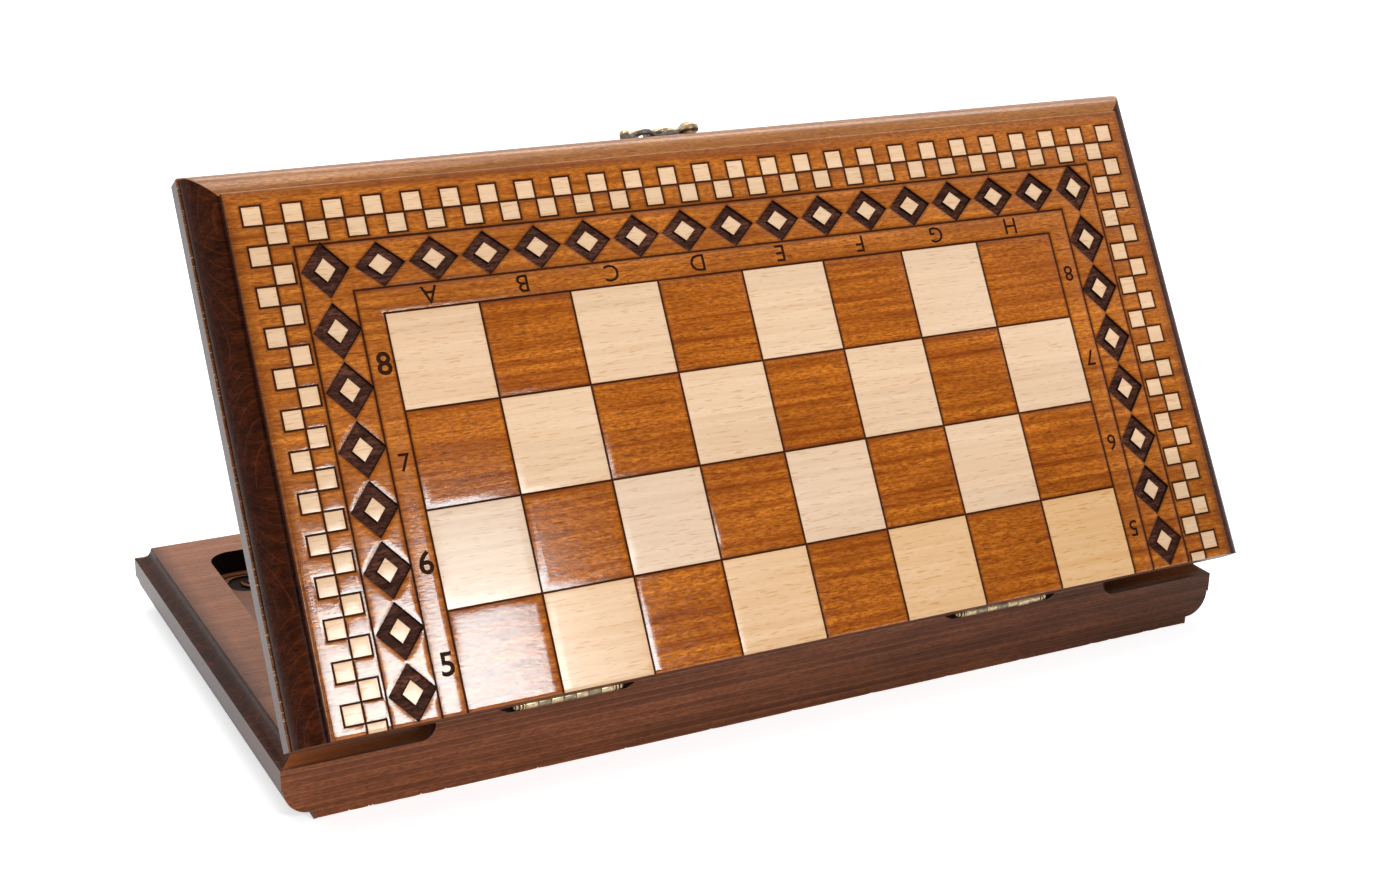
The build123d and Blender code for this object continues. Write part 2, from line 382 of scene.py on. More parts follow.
def checkLoops():
    side = carving["check"]
    return [boxLoop(i * side, j * side, side / 2, side / 2) for i, j in checkCells()]


def diamondPlaces():
    middle = diamonds["middle"]
    places = []
    for side in (-1, 1):
        for k in range(diamonds["sideCount"] - 1):
            places.append((side * middle, diamonds["sidePitch"] * (k + 0.5), *diamonds["sideHalf"]))
        places.append((side * middle, middle, *diamonds["sideHalf"]))
    for k in range(diamonds["topCount"]):
        x = (k - (diamonds["topCount"] - 1) / 2) * diamonds["topPitch"]
        places.append((x, middle, *diamonds["topHalf"]))
    return places


def diamondRings():
    rings = []
    for x, p, halfX, halfP in diamondPlaces():
        shrink = diamonds["island"] / max(halfX, halfP)
        island = diamondLoop(x, p, halfX * shrink, halfP * shrink)
        rings.append((diamondLoop(x, p, halfX, halfP), island))
    return rings


def signLoops(sign, height, weight):
    # outline loops of one letter or number, its middle at the origin and its strokes widened by the weight
    curve = bpy.data.curves.new("sign", "FONT")
    curve.body, curve.fill_mode, curve.resolution_u = sign, "NONE", signs["curveSteps"]
    made = bakeSign(newObject("sign", curve))
    spots = np.array([vert.co[:2] for vert in made.vertices])
    low, high = spots.min(0), spots.max(0)
    spots = (spots - (low + high) / 2) * height / (high[1] - low[1])
    nearby = {}
    for side in made.edges:
        a, b = side.vertices
        nearby.setdefault(a, []).append(b)
        nearby.setdefault(b, []).append(a)
    bpy.data.meshes.remove(made)
    loops = [spots[ring] for ring in walkRings(nearby)]
    return [thickened(loop, loops, weight) for loop in loops]


def thickened(loop, loops, weight):
    # an outline grows, and a hole within another outline shrinks
    ahead = np.roll(loop, -1, 0)
    turnsLeft = (loop[:, 0] * ahead[:, 1] - ahead[:, 0] * loop[:, 1]).sum() > 0
    hole = any(insideLoops(loop[:1], [other])[0] for other in loops if other is not loop)
    ordered = loop if turnsLeft else loop[::-1]
    return offsetLoop(ordered, -weight if hole else weight)


def bakeSign(made):
    bpy.context.view_layer.update()
    mesh = bpy.data.meshes.new_from_object(made.evaluated_get(bpy.context.evaluated_depsgraph_get()))
    bpy.data.objects.remove(made)
    return mesh


def walkRings(nearby):
    # closed rings of points, from the neighbours of each
    left = set(nearby)
    rings = []
    while left:
        ring = [min(left)]
        while True:
            onward = [other for other in nearby[ring[-1]] if other not in ring]
            if not onward:
                break
            ring.append(onward[0])
        left -= set(ring)
        rings.append(ring)
    return rings


def placedSigns(half):
    # seen from outside: right and up on the upper half are -x and +p, on the lower half +x and -p
    facing = -1 if half == "upper" else 1
    groups = []
    for file, letter in enumerate(signs["letters"]):
        loops = signLoops(letter, *signs["slimCut"])
        groups.append((loops, fileMiddle(file), -facing * signs["letterPlace"], facing))
    for row in range(rowCount):
        rank = rankOf(row, half)
        up = -facing * (row + 0.5) * carving["square"]
        for end, side in enumerate((-1, 1)):
            bold = side < 0 and rank not in signs["slimRanks"]
            loops = signLoops(str(rank), *signs["boldCut" if bold else "slimCut"])
            groups.append((loops, side * signs["numberPlace"][end], up, -side))
    placed = []
    for loops, right, up, turn in groups:
        for loop in loops:
            seen = np.asarray(loop) * turn + (right, up)
            placed.append(np.c_[facing * seen[:, 0], -facing * seen[:, 1]])
    return placed


def lightSquare(points, half):
    # squares of the field that stay the wood's own colour
    facing = -1 if half == "upper" else 1
    file = np.floor(facing * points[:, 0] / carving["square"] + fileCount // 2).astype(int) + 1
    row = np.floor(points[:, 1] / carving["square"]).astype(int)
    return inField(points) & ((file + rankOf(row, half)) % 2 == 1)


class FaceCarving:
    # what is cut into one playing face, and what that leaves at any spot of it

    def __init__(self, half):
        self.half = half
        self.checks = checkLoops()
        self.rings = diamondRings()
        self.signs = placedSigns(half)
        self.strokes = [(loop, True) for loop in self.checks]
        self.strokes += [(frameLine(size), False) for size in (letterHalf, diamondHalf)]
        for step in range(fileCount + 1):
            x = step * carving["square"] - fieldHalf
            self.strokes.append(([(x, -carving["runOut"]), (x, fieldHalf)], False))
        for step in range(1, rowCount + 1):
            p = step * carving["square"]
            self.strokes.append(([(-fieldHalf, p), (fieldHalf, p)], False))
        self.grooves = np.vstack([loopSegments(*stroke) for stroke in self.strokes])
        self.ringLoops = [loop for pair in self.rings for loop in pair]
        self.ringEdges = np.vstack([loopSegments(loop, True) for loop in self.ringLoops])
        self.signEdges = np.vstack([loopSegments(loop, True) for loop in self.signs])

    def depth(self, points):
        groove = distanceTo(points, self.grooves)
        ring = distanceTo(points, self.ringEdges)
        inRing = insideLoops(points, self.ringLoops)
        cut = carving["grooveDepth"] * np.clip(1 - groove / carving["grooveHalf"], 0, 1)
        floor = diamonds["floor"] * np.clip(ring / carving["wallRun"], 0, 1)
        cut = np.maximum(cut, np.where(inRing, floor, 0))
        floor = signs["floor"] * np.clip(distanceTo(points, self.signEdges) / signs["wallRun"], 0, 1)
        cut = np.maximum(cut, np.where(insideLoops(points, self.signs), floor, 0))
        rim = np.minimum(faceHalf - np.abs(points[:, 0]), faceFar - points[:, 1])
        rim = rim * carving["pillowWidth"] / carving["edgePillow"]
        beside = np.minimum(groove - carving["grooveHalf"], np.where(inRing, 0, ring))
        beside = np.clip(np.minimum(beside, rim), 0, carving["pillowWidth"])
        pillow = carving["pillowDepth"] * (1 - beside / carving["pillowWidth"]) ** 2
        fall = edge["hingeFall"] * np.clip(1 - points[:, 1] / edge["hingeRun"], 0, 1) ** 2
        ends = np.clip((faceHalf - np.abs(points[:, 0])) / edge["hingeRun"], 0, 1)
        return cut + pillow + fall * ends

    def zones(self, points):
        islands = [island for _, island in self.rings]
        zone = np.full(len(points), "goldenStain", object)
        zone[inField(points)] = "honeyStain"
        zone[lightSquare(points, self.half)] = "plainBeech"
        zone[insideLoops(points, self.checks) | insideLoops(points, islands)] = "plainBeech"
        zone[distanceTo(points, self.grooves) < carving["grooveHalf"]] = "scorchedLine"
        zone[insideLoops(points, self.signs)] = "burntSign"
        zone[insideLoops(points, self.ringLoops)] = "charredRing"
        return zone

    def scorch(self, points):
        # scorch beside the grooves and towards the face's side edges; no painted shade here
        groove = distanceTo(points, self.grooves) - carving["grooveHalf"]
        beside = np.minimum(groove, distanceTo(points, self.ringEdges))
        darkened = np.clip(1 - beside / carving["scorchRun"], 0, 1) ** carving["scorchFall"]
        rim = np.clip(1 - (faceHalf - np.abs(points[:, 0])) / carving["edgeScorch"], 0, 1)
        return np.maximum(darkened, rim)

    def guides(self):
        # lines that the carved surface is folded along
        lines = list(self.strokes)
        groove, width = carving["grooveHalf"], carving["pillowWidth"]
        for size in (fieldHalf, letterHalf, diamondHalf):
            for step in pillowSteps:
                reach = groove + step * width
                lines.append((frameLine(size + reach), False))
                if size > fieldHalf:
                    lines.append((frameLine(size - reach), False))
        for step in pillowSteps[1:]:
            lines.append((frameLine(faceHalf - step * carving["edgePillow"]), False))
            reach, p = faceHalf - edge["hingeRun"], step * edge["hingeRun"]
            lines.append(([(-reach, p), (reach, p)], False))
        for file in range(fileCount):
            for row in range(rowCount):
                lines += [(loop, True) for loop in self.squareFolds(file, row)]
        for loop in self.checks:
            lines += [(offsetLoop(loop, -groove - step * width), True) for step in pillowSteps[:-1]]
            lines += [(offsetLoop(loop, groove + step * width), True) for step in pillowSteps[:2]]
        runs = [step * width for step in pillowSteps[:-1]] + [-carving["wallRun"]]
        for outer, inner in self.rings:
            lines += [(offsetLoop(outer, run), True) for run in runs]
            lines += [(offsetLoop(inner, -run), True) for run in runs]
        for loop in self.signs:
            lines += [(loop, True), (self.signFloor(loop), True)]
        return lines

    def squareFolds(self, file, row):
        side, x = carving["square"], fileMiddle(file)
        low = row * side if row else -2 * carving["runOut"]
        high = (row + 1) * side
        middle, span = (low + high) / 2, (high - low) / 2
        folds = []
        for step in pillowSteps:
            inset = carving["grooveHalf"] + step * carving["pillowWidth"]
            folds.append(boxLoop(x, middle, side / 2 - inset, span - inset))
        return folds

    def signFloor(self, loop):
        # foot of a sign's wall, on whichever side of the outline is cut away
        inset = offsetLoop(loop, -signs["wallRun"])
        kept = insideLoops(inset, self.signs).mean() > 0.5
        return inset if kept else offsetLoop(loop, signs["wallRun"])


def foldedPanel(outline, lines):
    # flat sheet within the outline, divided along every line
    spots, sides = [], []
    for points, closed in [(outline, True), *lines]:
        first = len(spots)
        spots += [Vector((float(x), float(p))) for x, p in points]
        count = len(spots) - first
        sides += [(first + step, first + (step + 1) % count) for step in range(count - (not closed))]
    verts, _, faces, *_ = delaunay_2d_cdt(spots, sides, [], 0, tiny / 10)
    points, faces = np.array([vert[:] for vert in verts]), np.array(faces)
    keep = insideLoops(points[faces].mean(1), [outline])
    return points, faces[keep]


def addPanel(bm, points, heights, faces, upward):
    used = sorted(set(faces.ravel().tolist()))
    made = {index: bm.verts.new((*points[index], heights[index])) for index in used}
    for a, b, c in faces.tolist():
        corner = [made[a], made[b], made[c]]
        if (np.cross(points[b] - points[a], points[c] - points[a]) > 0) != upward:
            corner.reverse()
        bm.faces.new(corner)
    return list(made.values())


def carvePlayingFace(bm, cutting):
    flat = [face for face in bm.faces if all(vert.co.z < edge["faceFall"] + tiny for vert in face.verts)]
    border = [vert for face in flat for vert in face.verts]
    for vert, depth in zip(border, cutting.depth(np.array([vert.co[:2] for vert in border]))):
        vert.co.z = depth
    bmesh.ops.delete(bm, geom=flat, context="FACES_ONLY")
    outline = list(reversed(sweptPath(mouldingWidth + edge["arris"])))
    points, faces = foldedPanel(outline, cutting.guides())
    points[np.abs(points[:, 1]) < tiny, 1] = 0
    made = addPanel(bm, points, cutting.depth(points), faces, False)
    notchHingeFace(bm, made)


def notchHingeFace(bm, made):
    # the hinge edge takes the section of every groove that runs out there
    chain = sorted((vert for vert in made if vert.co.y == 0), key=lambda vert: vert.co.x)
    hingeFaces = [face for face in bm.faces if all(abs(vert.co.y) < tiny for vert in face.verts)]
    for face in hingeFaces:
        ring = list(face.verts)
        low = [vert for vert in ring if vert.co.z < edge["faceFall"] + tiny]
        if len(low) < 2:
            continue
        low.sort(key=lambda vert: vert.co.x)
        start = ring.index(low[0])
        forward = ring[(start + 1) % len(ring)] is low[-1]
        ring = ring[start:] + ring[:start]
        if forward:
            ring = [ring[0], *chain[1:-1], *ring[1:]]
        else:
            ring = [ring[0], *ring[1:], *reversed(chain[1:-1])]
        bm.faces.remove(face)
        bm.faces.new(ring)
    bmesh.ops.remove_doubles(bm, verts=bm.verts, dist=2 * tiny)
    bare = [side for side in bm.edges if not side.link_faces]
    bmesh.ops.delete(bm, geom=bare, context="EDGES")


# Staves: the half is parted along its glue lines

staveLook = {
    "pith": ((0, 38, 70), (0, 24, -55), (0, 33, 85), (0, 20, -64), (0, 12, 60)),
    "shift": 173.0, "tone": (-0.03, -0.02, 0.03, -0.03, 0.04),
    # painted light: a tone slope along each stave, and the light squares' saturation per rank as painted
    # haze
    "paintedLightSlope": {"lower": (0.52, 0, 0, 0, 0), "upper": (0.13, 0, 0, 0, 0)},
    "paintedHazeRich": (1.11, 0.88, 0.96, 0.95, 1.0), "paintedHazeRichSlope": (-0.17, -0.12, 0.05, 0.08, 0),
    # painted shade deep in the coves and darkening at the cove's lip; then the rim's scorched sides
    "coveShadeStart": 18.0, "coveDepthShade": 1.3, "lipDarkReach": 2.6, "rimScorch": (15.0, 6.5),
    "carvedTo": 2.0, "faceTilt": -0.25, "trayTilt": 0.2, "sharp": 38.0, "evenWeight": 90,
}


def partStaves(bm):
    pieces = []
    for low, high in zip(staveEdges, staveEdges[1:]):
        piece = bm.copy()
        for p, outward in ((low, -1), (high, 1)):
            if p in (staveEdges[0], staveEdges[-1]):
                continue
            everything = [*piece.verts, *piece.edges, *piece.faces]
            bmesh.ops.bisect_plane(piece, geom=everything, dist=tiny / 10, plane_co=(0, p, 0),
                                   plane_no=(0, outward, 0), clear_outer=True)
            cutEdges = [side for side in piece.edges if side.is_boundary]
            bmesh.ops.edgeloop_fill(piece, edges=cutEdges)
        bmesh.ops.recalc_face_normals(piece, faces=piece.faces)
        pieces.append(piece)
    return pieces


def sectionFinish(centre):
    # finish of the plain surfaces by their place on the half
    x, p, h = centre
    insetSide, insetFar = halfWidth - abs(x), halfDepth - p
    overTray = abs(x) < traySize[0] + near and abs(p - trayMiddle) < traySize[1] + near
    # tray walls are painted with shade
    if overTray and h < thickness - slack:
        return "trayShade"
    if h > thickness - slack:
        return "rimStain"
    if p < 2 * near:
        return "walnutStain"
    # hinge beds and barrel notches are painted with shade
    if p < hingeBed["leafWidth"] and insetSide > edge["coveReturn"] + edge["coveClear"]:
        return "trayShade"
    if p < edge["cove"] + near and h > thickness - edge["cove"] and insetSide > p:
        return "coveStain"
    if insetFar < insetSide:
        return "edgeStain"
    ledge = edge["fillet"] + edge["ovolo"] + edge["quirkHeight"]
    # the soft ledge by the land takes painted glints: an orange strip with bright flecks
    if insetSide < edge["quirkDepth"] and abs(h - ledge) < edge["softArris"]:
        return "paintedArrisGlint"
    plain = insetSide < slack or h < edge["fillet"] - slack
    return "landStain" if plain else "endGrain"


def readVectors(items, field):
    values = np.empty(len(items) * 3)
    items.foreach_get(field, values)
    return values.reshape(-1, 3)


def addAttribute(mesh, name, values):
    kind, field = ("FLOAT", "value") if values.ndim == 1 else ("FLOAT_VECTOR", "vector")
    mesh.attributes.new(name, kind, "POINT").data.foreach_set(field, values.ravel())


def dressStave(piece, name, half, index, cutting, relief):
    mesh = bpy.data.meshes.new(name)
    piece.to_mesh(mesh)
    piece.free()
    centres = readVectors(mesh.polygons, "center")
    tilt = readVectors(mesh.polygons, "normal")[:, 2]
    finish = np.array([sectionFinish(centre) for centre in centres], object)
    onFace = (np.abs(centres[:, 0]) < faceHalf) & (centres[:, 1] < faceFar)
    onFace &= (centres[:, 2] < staveLook["carvedTo"]) & (tilt < staveLook["faceTilt"])
    finish[onFace] = cutting.zones(centres[onFace, :2])
    onTray = insideLoops(centres[:, :2], [trayLoop]) & (centres[:, 2] < trayFloor + near)
    onTray &= tilt > staveLook["trayTilt"]
    finish[onTray] = relief.zones(centres[onTray, :2])
    used = [label for label in finishes if label in set(finish)]
    for label in used:
        mesh.materials.append(finishes[label])
    mesh.polygons.foreach_set("material_index", [used.index(label) for label in finish])
    mesh.polygons.foreach_set("use_smooth", np.ones(len(finish), bool))
    addWoodAttributes(mesh, half, index, cutting)
    mesh.transform(halfPlaces[half])
    mesh.set_sharp_from_angle(angle=math.radians(staveLook["sharp"]))
    made = newObject(name, mesh)
    even = made.modifiers.new("evenShade", "WEIGHTED_NORMAL")
    even.keep_sharp, even.weight = True, staveLook["evenWeight"]
    return bakeDown(made)


def addWoodAttributes(mesh, half, index, cutting):
    # where the grain runs, each stave's tone with a painted light slope towards one end, the light squares'
    # saturation set by rank as painted haze, and the scorch, which in the coves is painted shade
    spots = readVectors(mesh.vertices, "co")
    x, p, h = spots.T
    middle = (staveEdges[index] + staveEdges[index + 1]) / 2
    grain = spots - (0, middle, 0) + staveLook["pith"][index] + (index * staveLook["shift"], 0, 0)
    leftward = x / halfWidth * (1 if half == "upper" else -1)
    # painted light: each stave's tone slopes, lighter towards one end
    tone = staveLook["tone"][index] + staveLook["paintedLightSlope"][half][index] * leftward
    row = np.where(inField(spots), p // carving["square"], rowCount).astype(int)
    # painted haze: the light squares' saturation is set per rank and slopes towards one end
    hazeRich = np.take(staveLook["paintedHazeRich"], row) + np.take(staveLook["paintedHazeRichSlope"], row) * leftward
    scorch = np.zeros(len(spots))
    low = h < staveLook["carvedTo"]
    scorch[low] = cutting.scorch(spots[low, :2])
    # in the coves: painted shade that deepens towards the ball end, and darker close to the cove's lip
    cove = (p < edge["cove"] + near) & (h > thickness - edge["cove"] - near)
    inward = (halfWidth - np.abs(x) - staveLook["coveShadeStart"]) / edge["coveReturn"]
    lip = np.hypot(p, h - thickness + edge["cove"])
    darkened = np.maximum(staveLook["coveDepthShade"] * inward, 1 - lip / staveLook["lipDarkReach"])
    scorch[cove] = np.clip(darkened[cove], 0, 1)
    addAttribute(mesh, "grainPlace", grain * mm)
    addAttribute(mesh, "halfPlace", spots * mm)
    addAttribute(mesh, "staveToneAndPaintedLight", np.c_[1 + tone, hazeRich, np.zeros(len(spots))])
    addAttribute(mesh, "scorch", scorch)


# Tray floor: points, scroll bands and a rosette in low relief

reliefCut = {
    "ground": 1.2, "wallRun": 0.4, "lineInset": (4.0, 5.4), "curveSteps": 14, "leafSwell": 0.8,
    "pointCount": 6, "pointBase": 14.0, "pointLength": 158.0, "pointSpan": 66.0, "pointGap": 3.0,
    "pointRing": 2.4, "beads": 6, "beadStart": 0.7, "beadRoom": 1.6, "beadSize": 0.62, "beadLong": 1.5,
    "bandMiddle": 80.8, "bandHalf": 9.8, "bandReach": 213.0, "bandSoft": 1.0, "scrolls": 16,
    "petals": 12, "petalWidths": (3.6, 1.8), "rosette": (9.0, 33.0), "rosetteRings": (36.0, 38.0, 3.0, 5.5),
    "ringSteps": 48,
}
# leaves as shares of the band's half width: radius, start and end angle, swell
scroll = {
    "leaves": ((0.62, -60, 200, 0.17), (0.2, 20, 250, 0.12)), "leafDrop": 0.2,
    "tendril": (1.05, 215, 315, 0.16), "tendrilRise": 0.8,
}


def leafLoop(centre, radius, start, end, width):
    # pointed leaf, bent round a centre
    steps = reliefCut["curveSteps"]
    along = np.linspace(0, 1, steps + 1)
    turn = np.radians(start + (end - start) * along)
    swell = width * np.sin(np.pi * along) ** reliefCut["leafSwell"]
    sides = [np.c_[np.cos(turn), np.sin(turn)] * (radius + way * swell)[:, None] for way in (1, -1)]
    return np.vstack([sides[0], sides[1][-2:0:-1]]) + centre


def petalLoop(angle, low, high, width):
    # straight pointed petal that radiates from the middle of the tray
    along = np.linspace(0, 1, reliefCut["curveSteps"] + 1)
    reach, swell = low + (high - low) * along, width * np.sin(np.pi * along ** reliefCut["leafSwell"])
    petal = np.vstack([np.c_[reach, -swell], np.c_[reach, swell][-2:0:-1]])
    turn = np.array([[math.cos(angle), math.sin(angle)], [-math.sin(angle), math.cos(angle)]])
    return petal @ turn + (0, trayMiddle)


class TrayRelief:
    # loops cut into the tray floor; a loop within a loop stays standing

    def __init__(self):
        self.cuts = []
        self.addLines()
        self.addPoints()
        self.addBands()
        self.addRosette()
        self.edges = np.vstack([loopSegments(loop, True) for loop in self.cuts])
        self.points, self.faces = foldedPanel(trayLoop, self.guides())
        self.heights = trayFloor - self.depth(self.points)

    def addLines(self):
        for inset in reliefCut["lineInset"]:
            corner = trayCut["corner"] - inset
            size = (traySize[0] - inset, traySize[1] - inset)
            self.cuts.append(roundedLoop(0, trayMiddle, *size, corner, trayCut["cornerSteps"]))

    def addPoints(self):
        pitch = 2 * reliefCut["pointSpan"] / reliefCut["pointCount"]
        half = (pitch - reliefCut["pointGap"]) / 2
        for side in (-1, 1):
            for step in range(reliefCut["pointCount"]):
                p = trayMiddle - reliefCut["pointSpan"] + pitch * (step + 0.5)
                base = side * (traySize[0] - reliefCut["pointBase"])
                tip = base - side * reliefCut["pointLength"]
                point = [(base, p - side * half), (base, p + side * half), (tip, p)]
                self.cuts.append(point)
                if step % 2 == (side > 0):
                    self.cuts.append(offsetLoop(point, -reliefCut["pointRing"]))
                self.addBeads(base, tip, p, half)

    def addBeads(self, base, tip, p, half):
        # row of diamonds that shrink towards the tip
        for bead in range(reliefCut["beads"]):
            along = (bead + reliefCut["beadStart"]) / (reliefCut["beads"] + reliefCut["beadRoom"])
            size = (half - reliefCut["pointRing"]) * (1 - along) * reliefCut["beadSize"]
            x = base + (tip - base) * along
            self.cuts.append(diamondLoop(x, p, size * reliefCut["beadLong"], size))

    def addBands(self):
        # sunk band along each long side, with scrolled leaves left standing
        half, reach = reliefCut["bandHalf"], reliefCut["bandReach"]
        pitch = 2 * reach / reliefCut["scrolls"]
        for side in (-1, 1):
            middle = trayMiddle + side * reliefCut["bandMiddle"]
            corner = half - reliefCut["bandSoft"]
            self.cuts.append(roundedLoop(0, middle, reach, half, corner, trayCut["cornerSteps"]))
            for step in range(reliefCut["scrolls"]):
                way = 1 if step % 2 else -1
                x = -reach + pitch * (step + 0.5)
                spot = np.array((x, middle - way * half * scroll["leafDrop"]))
                leaves = [(spot, leaf) for leaf in scroll["leaves"]]
                if step < reliefCut["scrolls"] - 1:  # no tendril past the last scroll
                    root = spot + (pitch / 2, way * half * scroll["tendrilRise"])
                    leaves.append((root, scroll["tendril"]))
                for centre, (radius, start, end, swell) in leaves:
                    self.cuts.append(leafLoop(centre, half * radius, way * start, way * end, half * swell))

    def addRosette(self):
        count = reliefCut["petals"]
        low, high = reliefCut["rosette"]
        wide, slim = reliefCut["petalWidths"]
        for ring in reliefCut["rosetteRings"]:
            self.cuts.append(arcPoints((0, trayMiddle), ring, 0, 360, reliefCut["ringSteps"])[:-1])
        for petal in range(count):
            angle = 2 * math.pi * petal / count
            self.cuts.append(petalLoop(angle, low, high, wide))
            self.cuts.append(petalLoop(angle + math.pi / count, (low + high) / 2, high, slim))

    def depth(self, points):
        inside = insideLoops(points, self.cuts)
        wall = np.clip(distanceTo(points, self.edges) / reliefCut["wallRun"], 0, 1)
        return np.where(inside, reliefCut["ground"] * wall, 0)

    def zones(self, points):
        inside = insideLoops(points, self.cuts)
        return np.where(inside, "trayGround", "trayRelief").astype(object)

    def guides(self):
        # each outline, and the foot of its wall on the side that is cut away
        lines = []
        for loop in self.cuts:
            foot = offsetLoop(loop, -reliefCut["wallRun"])
            if insideLoops(foot, self.cuts).mean() < 0.5:
                foot = offsetLoop(loop, reliefCut["wallRun"])
            lines += [(loop, True), (foot, True)]
        return lines


def carveTray(bm, relief):
    flat = [face for face in bm.faces if all(abs(vert.co.z - trayFloor) < tiny for vert in face.verts)]
    flat = [face for face in flat if face.normal.z > 0]
    bmesh.ops.delete(bm, geom=flat, context="FACES_ONLY")
    addPanel(bm, relief.points, relief.heights, relief.faces, True)
    bmesh.ops.remove_doubles(bm, verts=bm.verts, dist=2 * tiny)


# Finishes

def newMaterial(name):
    material = bpy.data.materials.new(name)
    material.use_nodes = True
    tree = material.node_tree
    return material, tree, tree.nodes["Principled BSDF"]


def put(tree, kind, values=None, links=None, **props):
    made = tree.nodes.new(kind)
    for key, value in props.items():
        setattr(made, key, value)
    for socket, value in (values or {}).items():
        made.inputs[socket].default_value = value
    for socket, source in (links or {}).items():
        tree.links.new(source, made.inputs[socket])
    return made


def feed(tree, socket, value):
    # links another node's output, or sets a plain value
    if isinstance(value, bpy.types.NodeSocket):
        tree.links.new(value, socket)
    else:
        socket.default_value = (*value, 1) if isinstance(value, tuple) else value


def mixed(tree, factor, first, second):
    made = put(tree, "ShaderNodeMix", data_type="RGBA")
    for socket, value in ((0, factor), (6, first), (7, second)):
        feed(tree, made.inputs[socket], value)
    return made.outputs[2]


def mixedValue(tree, factor, first, second):
    made = put(tree, "ShaderNodeMix")
    for socket, value in ((0, factor), (2, first), (3, second)):
        feed(tree, made.inputs[socket], value)
    return made.outputs[0]


def maths(tree, operation, first, second=None):
    links = {0: first} if second is None else {0: first, 1: second}
    return put(tree, "ShaderNodeMath", None, links, operation=operation).outputs[0]


def ramped(tree, source, low, high, to=(0.0, 1.0)):
    made = put(tree, "ShaderNodeMapRange", {1: low, 2: high, 3: to[0], 4: to[1]}, {0: source})
    return made.outputs[0]


def stretched(tree, source, sizes):
    # coordinates in units of the given feature size in millimetres
    scale = tuple(1 / (size * mm) for size in sizes)
    return put(tree, "ShaderNodeMapping", {"Scale": scale}, {"Vector": source}).outputs[0]


def noise(tree, source, sizes, detail, rough):
    values = {"Scale": 1.0, "Detail": detail, "Roughness": rough}
    vector = stretched(tree, source, sizes)
    return put(tree, "ShaderNodeTexNoise", values, {"Vector": vector}).outputs[0]


# sizes along and across the grain, noise detail and roughness, and the part of the noise that shows
grainLook = {
    "Streak": {"sizes": (120, 3.2), "detail": 4.0, "rough": 0.6, "span": (0.28, 0.72)},
    "Fleck": {"sizes": (8, 0.75), "detail": 1.0, "rough": 0.5, "span": (0.62, 0.68)},
    "Blotch": {"sizes": (30, 9), "detail": 3.0, "rough": 0.5, "span": (0.3, 0.7)},
    "Fibre": {"sizes": (2.8, 0.85), "detail": 3.0, "rough": 0.6, "span": (0.4, 0.62)},
    "Pore": {"sizes": (3.2, 1.1), "detail": 3.0, "rough": 0.6, "span": (0.0, 1.0)},
}
ringLook = {
    "sizes": (700, 3.4), "span": (0.86, 1.0),
    "wave": {"Scale": 0.314, "Distortion": 2.2, "Detail": 3.0, "Detail Scale": 0.35},
}


def beechFigure():
    # grain shared by every wood finish: growth rings, streaks, flecks, stain blotches, fibres and pores
    group = bpy.data.node_groups.new("beechFigure", "ShaderNodeTree")
    place = put(group, "ShaderNodeAttribute", attribute_name="grainPlace").outputs["Vector"]
    along, across = ringLook["sizes"]
    wave = put(group, "ShaderNodeTexWave", ringLook["wave"],
               {"Vector": stretched(group, place, (along, across, across))},
               wave_type="RINGS", rings_direction="X", wave_profile="SAW")
    figure = {"Ring": ramped(group, wave.outputs["Fac"], *ringLook["span"])}
    for label, look in grainLook.items():
        along, across = look["sizes"]
        source = noise(group, place, (along, across, across), look["detail"], look["rough"])
        figure[label] = ramped(group, source, *look["span"])
    output = put(group, "NodeGroupOutput")
    for label, source in figure.items():
        group.interface.new_socket(label, in_out="OUTPUT", socket_type="NodeSocketFloat")
        group.links.new(source, output.inputs[label])
    return group


